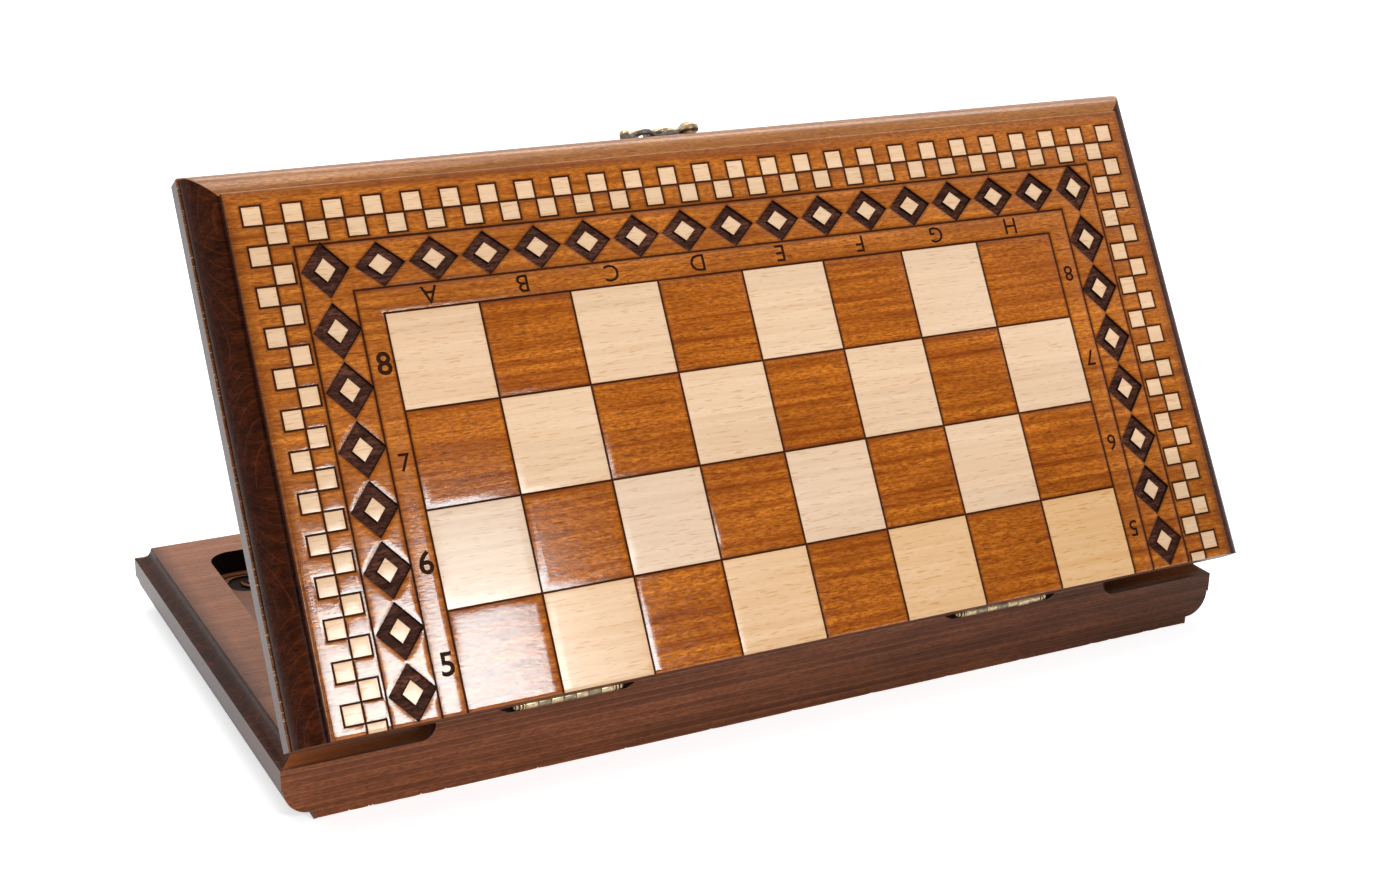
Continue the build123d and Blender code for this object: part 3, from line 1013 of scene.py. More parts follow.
# colours are linear; amounts are those of rings, flecks, blotches and fibres
woodLooks = {
    "honeyStain": {
        "light": (0.86, 0.275, 0.026), "dark": (0.24, 0.044, 0.003), "ring": (0.22, 0.05, 0.006),
        "fleck": (0.13, 0.028, 0.004), "amounts": (0.12, 0.6, 0.35, 0.72), "scorch": 0.6,
        "rough": 0.105, "shine": 0.56, "bump": 0.7, "tint": (0.84, 0.97, 0.98),
    },
    "goldenStain": {
        "light": (0.9, 0.305, 0.04), "dark": (0.28, 0.064, 0.007), "ring": (0.22, 0.05, 0.006),
        "fleck": (0.13, 0.028, 0.004), "amounts": (0.12, 0.6, 0.35, 0.72), "scorch": 0.62,
        "rough": 0.105, "shine": 0.56, "bump": 0.7, "tint": (0.84, 0.97, 0.98),
    },
    "plainBeech": {
        "light": (0.905, 0.655, 0.435), "dark": (0.79, 0.51, 0.3), "ring": (0.7, 0.43, 0.22),
        "fleck": (0.6, 0.26, 0.08), "amounts": (0.1, 0.45, 0.15, 0.3), "scorch": 0.18,
        "rough": 0.16, "shine": 0.34, "bump": 0.4, "varied": True,
    },
    "scorchedLine": {
        "light": (0.17, 0.05, 0.017), "dark": (0.075, 0.022, 0.008), "ring": (0.02, 0.01, 0.006),
        "fleck": (0.01, 0.005, 0.003), "amounts": (0.2, 0.3, 0.3, 0.4),
        "rough": 0.6, "shine": 0.02, "bump": 0.5,
    },
    "burntSign": {
        "light": (0.05, 0.018, 0.008), "dark": (0.026, 0.01, 0.005), "ring": (0.02, 0.01, 0.006),
        "fleck": (0.01, 0.005, 0.003), "amounts": (0.2, 0.3, 0.3, 0.4),
        "rough": 0.6, "shine": 0.05, "bump": 0.5,
    },
    "charredRing": {
        "light": (0.24, 0.085, 0.05), "dark": (0.024, 0.009, 0.006), "ring": (0.03, 0.012, 0.008),
        "fleck": (0.012, 0.005, 0.004), "amounts": (0.1, 0.6, 0.45, 0.85),
        "rough": 0.6, "shine": 0.05, "bump": 0.9,
    },
    "endGrain": {
        "light": (0.125, 0.027, 0.008), "dark": (0.022, 0.006, 0.003), "ring": (0.2, 0.055, 0.015),
        "fleck": (0.01, 0.004, 0.002), "amounts": (0.28, 0.5, 0.6, 0.6),
        "rough": 0.2, "shine": 0.09, "bump": 0.5,
    },
    "landStain": {
        "light": (0.15, 0.045, 0.022), "dark": (0.045, 0.014, 0.008), "ring": (0.14, 0.04, 0.015),
        "fleck": (0.012, 0.005, 0.003), "amounts": (0.2, 0.5, 0.5, 0.6),
        "rough": 0.2, "shine": 0.5, "bump": 0.3, "tint": (1.0, 0.88, 0.84),
    },
    # painted highlight: an orange arris strip with bright glint flecks
    "paintedArrisGlint": {
        "light": (0.42, 0.145, 0.04), "dark": (0.15, 0.04, 0.011), "ring": (0.12, 0.035, 0.01),
        "fleck": (0.85, 0.55, 0.25), "amounts": (0.1, 0.8, 0.5, 0.6),
        "rough": 0.2, "shine": 0.5, "bump": 0.5,
    },
    "edgeStain": {
        "light": (0.6, 0.255, 0.072), "dark": (0.25, 0.085, 0.018), "ring": (0.26, 0.085, 0.022),
        "fleck": (0.14, 0.04, 0.012), "amounts": (0.2, 0.5, 0.35, 0.7),
        "rough": 0.22, "shine": 0.4, "bump": 0.9,
    },
    # its scorch amount also lays painted shade deep in the cove
    "coveStain": {
        "light": (0.4, 0.125, 0.038), "dark": (0.14, 0.04, 0.013), "ring": (0.05, 0.015, 0.005),
        "fleck": (0.018, 0.007, 0.004), "amounts": (0.2, 0.2, 0.3, 0.4), "scorch": 0.92,
        "rough": 0.3, "shine": 0.06, "bump": 0.5,
    },
    "walnutStain": {
        "light": (0.33, 0.105, 0.042), "dark": (0.08, 0.022, 0.009), "ring": (0.42, 0.165, 0.05),
        "fleck": (0.03, 0.01, 0.005), "amounts": (0.5, 0.35, 0.4, 0.55),
        "rough": 0.34, "shine": 0.2, "bump": 0.8,
    },
    "rimStain": {
        "light": (0.52, 0.21, 0.094), "dark": (0.25, 0.088, 0.04), "ring": (0.16, 0.058, 0.027),
        "fleck": (0.09, 0.03, 0.013), "amounts": (0.2, 0.5, 0.4, 0.5), "sideScorch": 0.85,
        "rough": 0.3, "shine": 0.25, "bump": 0.6,
    },
    # painted shade for the tray walls, hinge beds and notches
    "trayShade": {
        "light": (0.016, 0.007, 0.005), "dark": (0.008, 0.004, 0.003), "ring": (0.02, 0.009, 0.006),
        "fleck": (0.006, 0.003, 0.002), "amounts": (0.2, 0.3, 0.3, 0.3),
        "rough": 0.5, "shine": 0.15, "bump": 0.4,
    },
    "trayRelief": {
        "light": (0.34, 0.135, 0.06), "dark": (0.15, 0.054, 0.024), "ring": (0.11, 0.04, 0.018),
        "fleck": (0.05, 0.018, 0.008), "amounts": (0.2, 0.5, 0.4, 0.5),
        "rough": 0.32, "shine": 0.3, "bump": 0.5,
    },
    "trayGround": {
        "light": (0.022, 0.009, 0.006), "dark": (0.01, 0.005, 0.003), "ring": (0.02, 0.009, 0.006),
        "fleck": (0.008, 0.004, 0.003), "amounts": (0.2, 0.5, 0.4, 0.5),
        "rough": 0.6, "shine": 0.15, "bump": 0.8,
    },
}
varnish = {"poreSpan": (0.3, 0.7), "roughSpread": (-0.04, 0.06), "bumpDepth": 0.05}


def woodFinish(name, look, figure):
    material, tree, shader = newMaterial(name)
    grain = put(tree, "ShaderNodeGroup", node_tree=figure).outputs
    ring, fleck, blotch, fibre = look["amounts"]
    colour = mixed(tree, grain["Streak"], look["dark"], look["light"])
    layers = (("Fibre", fibre, "dark"), ("Blotch", blotch, "dark"),
              ("Ring", ring, "ring"), ("Fleck", fleck, "fleck"))
    for label, amount, shade in layers:
        colour = mixed(tree, ramped(tree, grain[label], 0, 1, (0.0, amount)), colour, look[shade])
    # scorch; in the coves the same attribute carries painted shade
    if look.get("scorch"):
        scorch = put(tree, "ShaderNodeAttribute", attribute_name="scorch").outputs["Fac"]
        colour = mixed(tree, ramped(tree, scorch, 0, 1, (0.0, look["scorch"])), colour, look["fleck"])
    if look.get("sideScorch"):
        place = put(tree, "ShaderNodeAttribute", attribute_name="halfPlace").outputs["Vector"]
        across = put(tree, "ShaderNodeSeparateXYZ", None, {0: place}).outputs["X"]
        reach = [(halfWidth - inset) * mm for inset in staveLook["rimScorch"]]
        darkened = ramped(tree, maths(tree, "ABSOLUTE", across), *reach, (0.0, look["sideScorch"]))
        colour = mixed(tree, darkened, colour, look["fleck"])
    # stave tone with its painted light slope; for the light squares, a saturation that carries painted haze
    tone = put(tree, "ShaderNodeAttribute", attribute_name="staveToneAndPaintedLight").outputs["Vector"]
    tone = put(tree, "ShaderNodeSeparateXYZ", None, {0: tone}).outputs
    shade = {"Color": colour, "Value": tone["X"]}
    if look.get("varied"):
        shade["Saturation"] = tone["Y"]
    colour = put(tree, "ShaderNodeHueSaturation", None, shade).outputs[0]
    tree.links.new(colour, shader.inputs["Base Color"])
    spread = [look["rough"] + change for change in varnish["roughSpread"]]
    rough = ramped(tree, grain["Pore"], *varnish["poreSpan"], spread)
    tree.links.new(rough, shader.inputs["Roughness"])
    shader.inputs["Specular IOR Level"].default_value = look["shine"]
    shader.inputs["Specular Tint"].default_value = (*look.get("tint", (1, 1, 1)), 1)
    relief = {"Strength": look["bump"], "Distance": varnish["bumpDepth"] * mm}
    bump = put(tree, "ShaderNodeBump", relief, {"Height": grain["Pore"]})
    tree.links.new(bump.outputs[0], shader.inputs["Normal"])
    return material


brass = {"tarnishAndShade": ((2.4, 2.4, 2.4), 4.0, 0.6), "span": (0.35, 0.65), "dulling": 0.15, "metallic": 0.75}
brassLooks = {
    "agedHingeBrass": {"bright": (0.92, 0.76, 0.46), "dull": (0.52, 0.38, 0.20), "rough": 0.27},
    # painted shade: a darker copy of the hinge brass for the upper leaf's knuckles
    "paintedShadeHingeBrass": {"bright": (0.50, 0.41, 0.26), "dull": (0.24, 0.18, 0.11), "rough": 0.27},
    "agedLatchBrass": {"bright": (0.80, 0.60, 0.33), "dull": (0.27, 0.19, 0.13), "rough": 0.28},
    # painted shade: the hook's underside
    "paintedShadeLatchBrass": {"bright": (0.26, 0.22, 0.19), "dull": (0.10, 0.085, 0.075), "rough": 0.35},
    # patina in the finials' grooves, and painted shade on the hinge pin
    "darkPatinaAndShade": {"bright": (0.15, 0.11, 0.065), "dull": (0.06, 0.045, 0.03), "rough": 0.45},
    "screwBrass": {"bright": (0.64, 0.49, 0.22), "dull": (0.30, 0.21, 0.10), "rough": 0.24},
}


def brassFinish(name, bright, dull, rough):
    material, tree, shader = newMaterial(name)
    place = put(tree, "ShaderNodeTexCoord").outputs["Object"]
    tarnishAndShade = ramped(tree, noise(tree, place, *brass["tarnishAndShade"]), *brass["span"])
    tree.links.new(mixed(tree, tarnishAndShade, dull, bright), shader.inputs["Base Color"])
    dulled = ramped(tree, tarnishAndShade, 0, 1, (rough + brass["dulling"], rough))
    tree.links.new(dulled, shader.inputs["Roughness"])
    shader.inputs["Metallic"].default_value = brass["metallic"]
    return material


figure = beechFigure()
finishes = {label: woodFinish(label, look, figure) for label, look in woodLooks.items()}
brasses = {label: brassFinish(label, **look) for label, look in brassLooks.items()}
print("finishes ready:", len(finishes) + len(brasses))


# Build both halves

relief = TrayRelief()
for half in ("lower", "upper"):
    cutting = FaceCarving(half)
    bm = cutHalf()
    carvePlayingFace(bm, cutting)
    carveTray(bm, relief)
    loose = sum(1 for side in bm.edges if not side.is_manifold)
    print(half, "half carved:", len(bm.faces), "faces,", loose, "open edges")
    for index, piece in enumerate(partStaves(bm)):
        stave = dressStave(piece, f"{half}Stave{index + 1}", half, index, cutting, relief)
        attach(stave, f"{half}_half")
        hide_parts(f"{half}_stave_{index + 1}")
        print(stave.name, len(stave.data.polygons), "faces")
    bm.free()

# Brass hinges: leaves, knuckles, finials and screws

hinge = {
    "barrel": 43.0, "radius": 2.0, "knuckles": 7, "gap": 0.3, "bore": 1.04, "round": 0.18, "clearance": 0.4,
    "core": 1.5, "leafWidth": 14.0, "leafSoft": 0.15, "overrun": 1.0, "sharp": 40.0, "steps": 40,
    "softSteps": 4,
}
finial = {
    "rings": 2, "ring": 1.0, "ringSoft": 0.25, "groove": 0.55, "draft": 0.04, "neck": 1.35, "socket": 3.0,
    "length": 5.5, "ball": 1.6, "ballArc": (-30, 90), "ballSteps": 10,
}
screw = {
    "count": 3, "spacing": 14.0, "inset": 8.5, "head": 2.6, "shank": 1.3, "length": 13.0, "point": 3.0,
    "slot": 0.7, "slotDepth": 0.6, "room": 0.05, "overrun": 1.0, "steps": 36,
}
hingePitch = hinge["barrel"] / hinge["knuckles"]
barrelAxis = (-hingeBed["axisGap"], thickness + hingeBed["axisGap"])


def rowOfCopies():
    # copies of a piece at even steps, joined to the object's own mesh
    tree = bpy.data.node_groups.new("rowOfCopies", "GeometryNodeTree")
    sockets = {"Geometry": "Geometry", "Piece": "Object", "Count": "Int",
               "Start": "Vector", "Step": "Vector", "Finish": "Material"}
    for label, kind in sockets.items():
        tree.interface.new_socket(label, in_out="INPUT", socket_type="NodeSocket" + kind)
    tree.interface.new_socket("Geometry", in_out="OUTPUT", socket_type="NodeSocketGeometry")
    given = put(tree, "NodeGroupInput").outputs
    run = {"Count": given["Count"], "Start Location": given["Start"], "Offset": given["Step"]}
    spots = put(tree, "GeometryNodeMeshLine", None, run, mode="OFFSET")
    piece = put(tree, "GeometryNodeObjectInfo", None, {"Object": given["Piece"]})
    copies = put(tree, "GeometryNodeInstanceOnPoints", None,
                 {"Points": spots.outputs[0], "Instance": piece.outputs["Geometry"]})
    both = put(tree, "GeometryNodeJoinGeometry", None, {0: given["Geometry"]})
    tree.links.new(copies.outputs[0], both.inputs[0])
    plain = put(tree, "GeometryNodeRealizeInstances", None, {0: both.outputs[0]})
    dressed = put(tree, "GeometryNodeSetMaterial", None,
                  {"Geometry": plain.outputs[0], "Material": given["Finish"]})
    put(tree, "NodeGroupOutput", None, {0: dressed.outputs[0]})
    return tree


def repeatPiece(made, tree, piece, count, start, step, finish):
    values = {"Piece": piece, "Count": count, "Start": start, "Step": step, "Finish": finish}
    row = made.modifiers.new("row", "NODES")
    row.node_group = tree
    for socket in tree.interface.items_tree:
        if socket.in_out == "INPUT" and socket.name in values:
            row[socket.identifier] = values[socket.name]
    return bakeDown(made)


def settle(made, half, body, node, finish=None):
    mesh = made.data
    mesh.polygons.foreach_set("use_smooth", np.ones(len(mesh.polygons), bool))
    mesh.set_sharp_from_angle(angle=math.radians(hinge["sharp"]))
    mesh.transform(halfPlaces[half])
    if finish:
        mesh.materials.clear()
        mesh.materials.append(finish)
    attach(made, body)
    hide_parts(node)


def knuckle():
    # one rolled knuckle, its middle at the origin
    half, radius, soft = (hingePitch - hinge["gap"]) / 2, hinge["radius"], hinge["round"]
    outside = arcPoints((radius - soft, soft - half), soft, 270, 360, hinge["softSteps"])
    outside += arcPoints((radius - soft, half - soft), soft, 0, 90, hinge["softSteps"])
    profile = [(hinge["bore"], -half), *outside, (hinge["bore"], half)]
    return turnedObject("knuckle", profile, alongX((0, 0, 0)), hinge["steps"])


def barrelBar(x, length, radius):
    profile = [(0, 0), (radius, 0), (radius, length), (0, length)]
    return turnedObject("barrelBar", profile, alongX((x, *barrelAxis)), hinge["steps"])


def screwProfile(room):
    head, shank, tip = screw["head"] + room, screw["shank"] + room, -screw["length"]
    return [(0, tip), (shank, screw["point"] + tip), (shank, shank - head), (head, 0), (0, 0)]


def slottedScrew():
    body = turnedObject("screw", screwProfile(0), Matrix.Identity(4), screw["steps"])
    slotLoop = boxLoop(0, 0, screw["head"] + screw["overrun"], screw["slot"] / 2)
    return reshape(body, [prismCutter(slotLoop, -screw["slotDepth"], screw["overrun"])], "DIFFERENCE")


def screwStart(x):
    return Vector((x - screw["spacing"] * (screw["count"] - 1) / 2, screw["inset"], thickness))


def leafPlate(name, x, owner):
    # leaf with countersunk holes, cut away where the other leaf's knuckles turn
    width = hinge["leafWidth"] + hingeBed["axisGap"]
    depth = hingeBed["leafDepth"]
    place = Matrix.Translation((x, width / 2 - hingeBed["axisGap"], thickness - depth / 2))
    bm = bmesh.new()
    bmesh.ops.create_cube(bm, size=1, matrix=place @ Matrix.Diagonal((hinge["barrel"], width, depth, 1)))
    bmesh.ops.bevel(bm, geom=bm.edges[:], offset=hinge["leafSoft"], segments=2, affect="EDGES", profile=0.5)
    low, spare = x - hinge["barrel"] / 2, hinge["overrun"]
    cutters = [barrelBar(low - spare, hinge["barrel"] + 2 * spare, hinge["core"])]
    for index in range(1 - owner, hinge["knuckles"], 2):
        start, length = low + hingePitch * index - hinge["gap"] / 2, hingePitch + hinge["gap"]
        cutters.append(barrelBar(start, length, hinge["radius"] + hinge["clearance"]))
    for index in range(screw["count"]):
        place = Matrix.Translation(screwStart(x) + Vector((screw["spacing"] * index, 0, 0)))
        cutters.append(turnedObject("screwRoom", screwProfile(screw["room"]), place, screw["steps"]))
    return reshape(meshObject(name, bm), cutters, "DIFFERENCE")


def finialProfile():
    # cap with two rings, a neck and a ball, bored for the pin
    radius, bore, soft = hinge["radius"], hinge["bore"], finial["ringSoft"]
    neck, draft = finial["neck"], finial["draft"]
    points = [(0, finial["socket"]), (bore, finial["socket"]), (bore, 0)]
    height = 0
    for _ in range(finial["rings"]):
        top = height + finial["ring"]
        points += [(radius - soft, height), (radius, height + soft)]
        points += [(radius, top - soft), (radius - soft, top)]
        height = top + finial["groove"]
        points += [(neck, top + draft), (neck, height - draft)]
    middle = finial["length"] - finial["ball"]
    return points + arcPoints((0, middle), finial["ball"], *finial["ballArc"], finial["ballSteps"])


def buildFinials(name, x):
    bm = bmesh.new()
    for side in (-1, 1):
        start = (x + side * hinge["barrel"] / 2, *barrelAxis)
        for face in turnedMesh(bm, finialProfile(), alongX(start, side), hinge["steps"]):
            gaps = [math.dist(vert.co[1:], barrelAxis) - finial["neck"] for vert in face.verts]
            face.material_index = int(min(abs(gap) for gap in gaps) < slack)
    made = meshObject(name, bm)
    for label in ("agedHingeBrass", "darkPatinaAndShade"):  # dark in the grooves
        made.data.materials.append(brasses[label])
    return made


copyRow = rowOfCopies()
knucklePiece, screwPiece = knuckle(), slottedScrew()
for side, rowX in (("left", -hingeBed["offset"]), ("right", hingeBed["offset"])):
    for owner, half in enumerate(("lower", "upper")):
        x = rowX if half == "lower" else -rowX
        leaf = leafPlate(f"{side}{half.title()}Leaf", x, owner)
        start = (x - hinge["barrel"] / 2 + hingePitch * (owner + 0.5), *barrelAxis)
        count = (hinge["knuckles"] + 1) // 2 - owner
        # the upper leaf's knuckles take the darker copy of the brass, as painted shade
        finish = brasses["agedHingeBrass" if half == "lower" else "paintedShadeHingeBrass"]
        repeatPiece(leaf, copyRow, knucklePiece, count, start, (2 * hingePitch, 0, 0), finish)
        settle(leaf, half, f"{half}_half", f"{side}_hinge_{half}_leaf")
        screws = newObject(f"{side}{half.title()}Screws", bpy.data.meshes.new("screws"))
        step = (screw["spacing"], 0, 0)
        finish = brasses["screwBrass"]
        repeatPiece(screws, copyRow, screwPiece, screw["count"], screwStart(x), step, finish)
        settle(screws, half, f"{half}_half", f"{side}_hinge_{half}_screws")
    finials = buildFinials(f"{side}Finials", rowX)
    settle(finials, "lower", "lower_half", f"{side}_hinge_finials")
    pin = frame["nodes"][f"{side}_hinge_pin"]
    # the pin takes the dark brass as painted shade, so the gaps between knuckles read dark
    pin.data.materials.clear()
    pin.data.materials.append(brasses["darkPatinaAndShade"])
for piece in (knucklePiece, screwPiece):
    bpy.data.objects.remove(piece)
print("hinges built")


# Swing hook, its screw and the catch, on the free edges' lands: u along x, v to the playing face, w outward

latch = {
    "landMiddle": 21.5, "lift": 1.9, "thick": 2.4, "ridge": 2.9, "belly": 1.2, "boss": 5.5,
    "bossThick": 2.8, "bossBlend": 1.5, "arm": 2.7, "swell": 0.95, "swellAt": 0.62, "waist": 2.3,
    "waistAt": 16.6, "bead": 3.0, "beadTop": 3.2, "beadRim": 0.35, "neckRing": (0.35, 0.25, 0.5),
    "neckRingBack": 3.9, "reach": 24.3, "head": 4.7, "headBlend": (5.5, 4.5), "discSoft": 0.6,
    "slotHalf": 1.85, "slotTurn": -24.0, "tail": 2.4, "tailBlend": (4.6, 5.8), "tailTaper": 0.7,
    "tailEnd": 33.4, "knob": 2.5, "knobTop": 4.0, "knobRim": 0.6, "bore": 1.55, "soft": 0.3,
    # the hook takes painted shade on faces low down that face downward or sideways
    "tarnishAndShade": 1.3, "shadeTilt": 0.35, "overrun": 1.0, "steps": 40, "arcSteps": 8, "boreSteps": 24,
    "softSteps": 4,
}
# half of the arm's section, from its soft foot up the side and over the shoulder to the crest
armSection = {"side": 0.6, "shoulder": (0.62, 0.9), "crest": 0.2}
fixing = {
    "pivot": {"neck": 4.8, "head": 4.25, "rise": 2.3, "slotDepth": 0.9},
    "stud": {"neck": 4.6, "head": 2.7, "rise": 1.8, "slotDepth": 0},
    "spacer": {"radius": 4.0, "top": 1.8, "waist": 0.5},
    "collar": {"radius": 4.5, "top": 1.2, "waist": 0.25},
    "slot": 0.9, "shank": 1.5, "depth": 12.0, "point": 3.0, "waistSpan": (0.35, 0.65), "domeSteps": 10,
}
landPlace = Matrix(((1, 0, 0, 0), (0, 0, 1, halfDepth), (0, -1, 0, latch["landMiddle"]), (0, 0, 0, 1)))


def softDisc(radius, top, soft):
    # turned disc with rounded rims
    rim = arcPoints((radius - soft, soft), soft, 270, 360, latch["softSteps"])
    rim += arcPoints((radius - soft, top - soft), soft, 0, 90, latch["softSteps"])
    return [(0, 0), *rim, (0, top)]


def domedDisc(radius, foot, rim, top):
    # turned disc with a soft foot and a dome from the rim's height to the top
    soft = latch["soft"]
    quarter = arcPoints((0, 0), 1, 0, 90, latch["arcSteps"])
    dome = [(radius * out, rim + (top - rim) * up) for out, up in quarter]
    return [(0, foot), (radius - soft, foot), (radius, foot + soft), *dome]


def latchPiece(profile, u=0.0):
    return turnedObject("latchPiece", profile, Matrix.Translation((u, 0, 0)), latch["steps"])


def loftedArm(stations):
    # bar with a ridge along it, from (u, half width, foot, height) stations
    bm = bmesh.new()
    rows = []
    soft, (out, up) = latch["soft"], armSection["shoulder"]
    for u, half, foot, top in stations:
        right = [(half - soft, foot), (half, foot + soft), (half, foot + armSection["side"] * (top - foot))]
        right += [(out * half, up * top), (armSection["crest"] * half, top)]
        section = right + [(-v, w) for v, w in reversed(right)]
        rows.append([bm.verts.new((u, v, w)) for v, w in section])
    count = len(rows[0])
    for low, high in zip(rows, rows[1:]):
        for index in range(count):
            after = (index + 1) % count
            bm.faces.new((low[index], low[after], high[after], high[index]))
    bm.faces.new(rows[0])
    bm.faces.new(rows[-1])
    bmesh.ops.recalc_face_normals(bm, faces=bm.faces)
    return meshObject("latchHook", bm)


def armStations():
    # flat under the boss and the head, with a belly elsewhere
    thick, ridge, low = latch["thick"], latch["ridge"], -latch["belly"]
    boss, waist, reach, wide, tail = (latch[key] for key in ("boss", "waistAt", "reach", "arm", "tail"))
    swell = wide * latch["swell"]
    headFrom, headTo = (reach - blend for blend in latch["headBlend"])
    tailFrom, tailTo = (reach + blend for blend in latch["tailBlend"])
    return [
        (0, wide, 0, thick), (boss, wide, 0, thick), (boss + latch["bossBlend"], wide, low, thick),
        (waist * latch["swellAt"], swell, low, ridge), (waist, latch["waist"], low, thick),
        (headFrom, swell, low, thick), (headTo, wide, 0, thick), (reach, wide, 0, thick),
        (tailFrom, tail, 0, ridge), (tailTo, tail, low, ridge),
        (latch["tailEnd"], tail * latch["tailTaper"], low, ridge),
    ]


def castHook():
    thick, reach, waist, top = latch["thick"], latch["reach"], latch["waistAt"], latch["beadTop"]
    bead = domedDisc(latch["bead"], 0, top * latch["beadRim"], top)
    knob = domedDisc(latch["knob"], -latch["belly"], thick * latch["knobRim"], latch["knobTop"])
    out, rise, soft = latch["neckRing"]
    parts = [
        latchPiece(softDisc(latch["boss"], latch["bossThick"], latch["discSoft"])),
        latchPiece(bead, waist),
        latchPiece(softDisc(latch["head"], thick, latch["discSoft"]), reach),
        latchPiece(knob, latch["tailEnd"]),
        latchPiece(softDisc(latch["waist"] + out, thick + rise, soft), waist - latch["neckRingBack"]),
    ]
    hook = reshape(loftedArm(armStations()), parts, "UNION")
    half, turn, steps = latch["slotHalf"], latch["slotTurn"], latch["arcSteps"]
    track = arcPoints((0, 0), reach - half, 0, turn, steps)
    track += arcPoints((0, 0), reach + half, turn, 0, steps)
    seat = arcPoints((reach, 0), half, 0, 360, latch["boreSteps"])[:-1]
    bore = arcPoints((0, 0), latch["bore"], 0, 360, latch["boreSteps"])[:-1]
    spare = latch["overrun"]
    cutters = [prismCutter(loop, -spare, latch["knobTop"] + spare) for loop in (track, seat, bore)]
    reshape(hook, cutters, "DIFFERENCE")
    hook.data.materials.clear()
    for label in ("agedLatchBrass", "paintedShadeLatchBrass"):
        hook.data.materials.append(brasses[label])
    for face in hook.data.polygons:  # painted shade on the underside and low on the sides
        low = face.center.z < latch["tarnishAndShade"]
        face.material_index = int(low and face.normal.z < latch["shadeTilt"])
    hook.data.transform(Matrix.Translation((0, 0, latch["lift"])))
    return hook


def domedScrew(name, neck, head, rise, slotDepth):
    # screw in the land with a plain neck and a domed head
    shank, tip = fixing["shank"], -fixing["depth"]
    points = [(0, tip), (shank, fixing["point"] + tip), (shank, neck)]
    ball = (head ** 2 + rise ** 2) / (2 * rise)
    rimAngle = math.degrees(math.asin((ball - rise) / ball))
    points += arcPoints((0, neck + rise - ball), ball, rimAngle, 90, fixing["domeSteps"])
    made = turnedObject(name, points, Matrix.Identity(4), latch["steps"])
    if slotDepth:
        top, spare = neck + rise, latch["overrun"]
        slotLoop = boxLoop(0, 0, head + spare, fixing["slot"] / 2)
        reshape(made, [prismCutter(slotLoop, top - slotDepth, top + spare)], "DIFFERENCE")
    return made


def turnedWasher(name, radius, top, waist):
    inner, soft = latch["bore"], latch["soft"]
    points = [(inner, 0), (radius - soft, 0), (radius, soft)]
    points += [(radius - waist, top * share) for share in fixing["waistSpan"]]
    points += [(radius, top - soft), (radius - soft, top), (inner, top)]
    return turnedObject(name, points, Matrix.Identity(4), latch["steps"])


latchPieces = (
    (castHook(), "upper", "latch_hook", "latch_hook"),
    (domedScrew("latchPivotScrew", **fixing["pivot"]), "upper", "upper_half", "latch_pivot_screw"),
    (turnedWasher("latchSpacer", **fixing["spacer"]), "upper", "upper_half", "latch_spacer"),
    (domedScrew("catchStud", **fixing["stud"]), "lower", "lower_half", "catch_stud"),
    (turnedWasher("catchCollar", **fixing["collar"]), "lower", "lower_half", "catch_collar"),
)
for made, half, body, node in latchPieces:
    made.data.transform(landPlace)
    finish = None if node == "latch_hook" else brasses["agedLatchBrass"]
    settle(made, half, body, node, finish)
print("latch built")


# Floor, light and camera

studio = {
    "floorSize": 12.0, "floorColour": (0.88, 0.88, 0.88), "floorRough": 0.9, "floorSheen": 0.22,
    "floorGlow": (0.66, 0.95), "floorReach": (0.35, 1.3), "fill": 0.3,
    "room": {"span": (-0.35, 0.25), "light": (0.05, 0.85)},
    "side": {"span": (0.64, 0.8), "light": (0.0, 0.8)},
    "haze": {"span": (-0.64, -0.5), "light": (0.0, 0.55)},
    "key": {"place": (0.27, -1.46, 0.86), "aim": (-0.2, -0.14, 0.07), "size": (0.4, 0.4), "power": 10.2,
            "colour": (0.94, 0.97, 1.0)},
    "top": {"place": (-0.2, 0.1, 1.9), "aim": (0, 0, 0.1), "size": (1.4, 1.4), "power": 20.5},
    "back": {"place": (0.65, 0.95, 1.35), "aim": (0, 0, 0.25), "size": (1.3, 0.3), "power": 6.0},
}


def buildFloor():
    bm = bmesh.new()
    bmesh.ops.create_grid(bm, x_segments=2, y_segments=2, size=studio["floorSize"])
    floor = meshObject("studioFloor", bm)
    material, tree, shader = newMaterial("paleFloor")
    shader.inputs["Base Color"].default_value = (*studio["floorColour"], 1)
    shader.inputs["Roughness"].default_value = studio["floorRough"]
    shader.inputs["Specular IOR Level"].default_value = 0.0
    eye = put(tree, "ShaderNodeLightPath").outputs["Is Camera Ray"]
    passedOn = mixedValue(tree, seenDirectly(tree), 0.0, studio["floorSheen"])
    place = put(tree, "ShaderNodeTexCoord").outputs["Object"]
    away = put(tree, "ShaderNodeVectorMath", None, {0: place}, operation="LENGTH").outputs["Value"]
    glowing = ramped(tree, away, *studio["floorReach"], studio["floorGlow"])
    strength = mixedValue(tree, eye, passedOn, glowing)
    glow = put(tree, "ShaderNodeEmission", {"Color": (1, 1, 1, 1)}, {"Strength": strength})
    both = put(tree, "ShaderNodeAddShader", None, {0: shader.outputs[0], 1: glow.outputs[0]})
    tree.links.new(both.outputs[0], tree.nodes["Material Output"].inputs["Surface"])
    floor.data.materials.append(material)


def seenDirectly(tree):
    # 1 for rays from the eye and for those that gloss and glass pass on
    path = put(tree, "ShaderNodeLightPath").outputs
    seen = maths(tree, "MAXIMUM", path["Is Camera Ray"], path["Is Glossy Ray"])
    return maths(tree, "MAXIMUM", seen, path["Is Transmission Ray"])


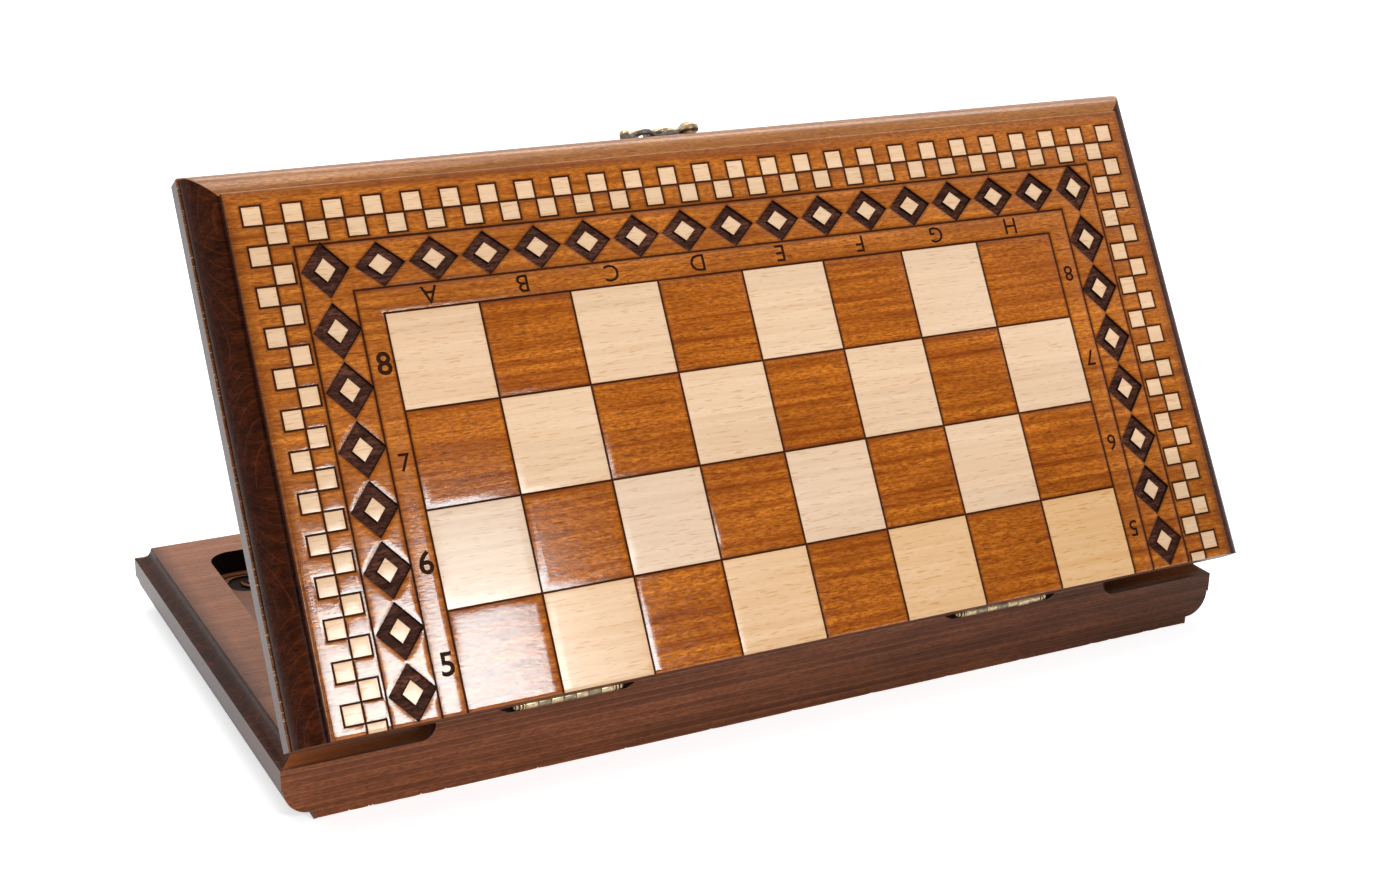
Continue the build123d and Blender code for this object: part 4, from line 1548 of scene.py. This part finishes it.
def buildWorld():
    # white to the eye; in reflections the room is pale behind the object and dimmer in front of it
    world = bpy.data.worlds.new("studioWorld")
    scene.world = world
    world.use_nodes = True
    tree = world.node_tree
    eye = put(tree, "ShaderNodeLightPath").outputs["Is Camera Ray"]
    way = put(tree, "ShaderNodeTexCoord").outputs["Generated"]
    way = put(tree, "ShaderNodeSeparateXYZ", None, {0: way}).outputs
    glows = []
    for part, axis in (("room", "Y"), ("side", "X"), ("haze", "Y")):
        look = studio[part]
        glows.append(ramped(tree, way[axis], *look["span"], look["light"]))
    room = maths(tree, "MAXIMUM", maths(tree, "MAXIMUM", glows[0], glows[1]), glows[2])
    strength = mixedValue(tree, seenDirectly(tree), studio["fill"], room)
    strength = mixedValue(tree, eye, strength, 1.0)
    back = tree.nodes["Background"]
    back.inputs["Color"].default_value = (1, 1, 1, 1)
    tree.links.new(strength, back.inputs["Strength"])


def areaLight(name, look):
    lamp = bpy.data.lights.new(name, "AREA")
    lamp.shape, lamp.energy = "RECTANGLE", look["power"]
    lamp.size, lamp.size_y = look["size"]
    lamp.color = look.get("colour", (1, 1, 1))
    made = newObject(name, lamp)
    place = Vector(look["place"])
    made.location = place
    made.rotation_euler = (Vector(look["aim"]) - place).to_track_quat("-Z", "Y").to_euler()


view = {
    "place": (-0.477001, -0.922611, 0.477056), "lens": 55.946, "sensor": 36.0, "clip": (0.02, 50),
    "look": (0.43994173, 0.82842073, -0.34665598), "up": (0.14158382, 0.3172065, 0.93772814),
}


def buildCamera():
    data = bpy.data.cameras.new("photoView")
    data.lens, data.sensor_width = view["lens"], view["sensor"]
    data.clip_start, data.clip_end = view["clip"]
    made = newObject("photoView", data)
    back = -Vector(view["look"]).normalized()
    right = Vector(view["up"]).cross(back).normalized()
    up = back.cross(right)
    turn = Matrix((right, up, back)).transposed().to_4x4()
    made.matrix_world = Matrix.Translation(view["place"]) @ turn
    scene.camera = made


buildFloor()
buildWorld()
for lamp in ("key", "top", "back"):
    areaLight(lamp + "Softbox", studio[lamp])
buildCamera()
print("studio ready")
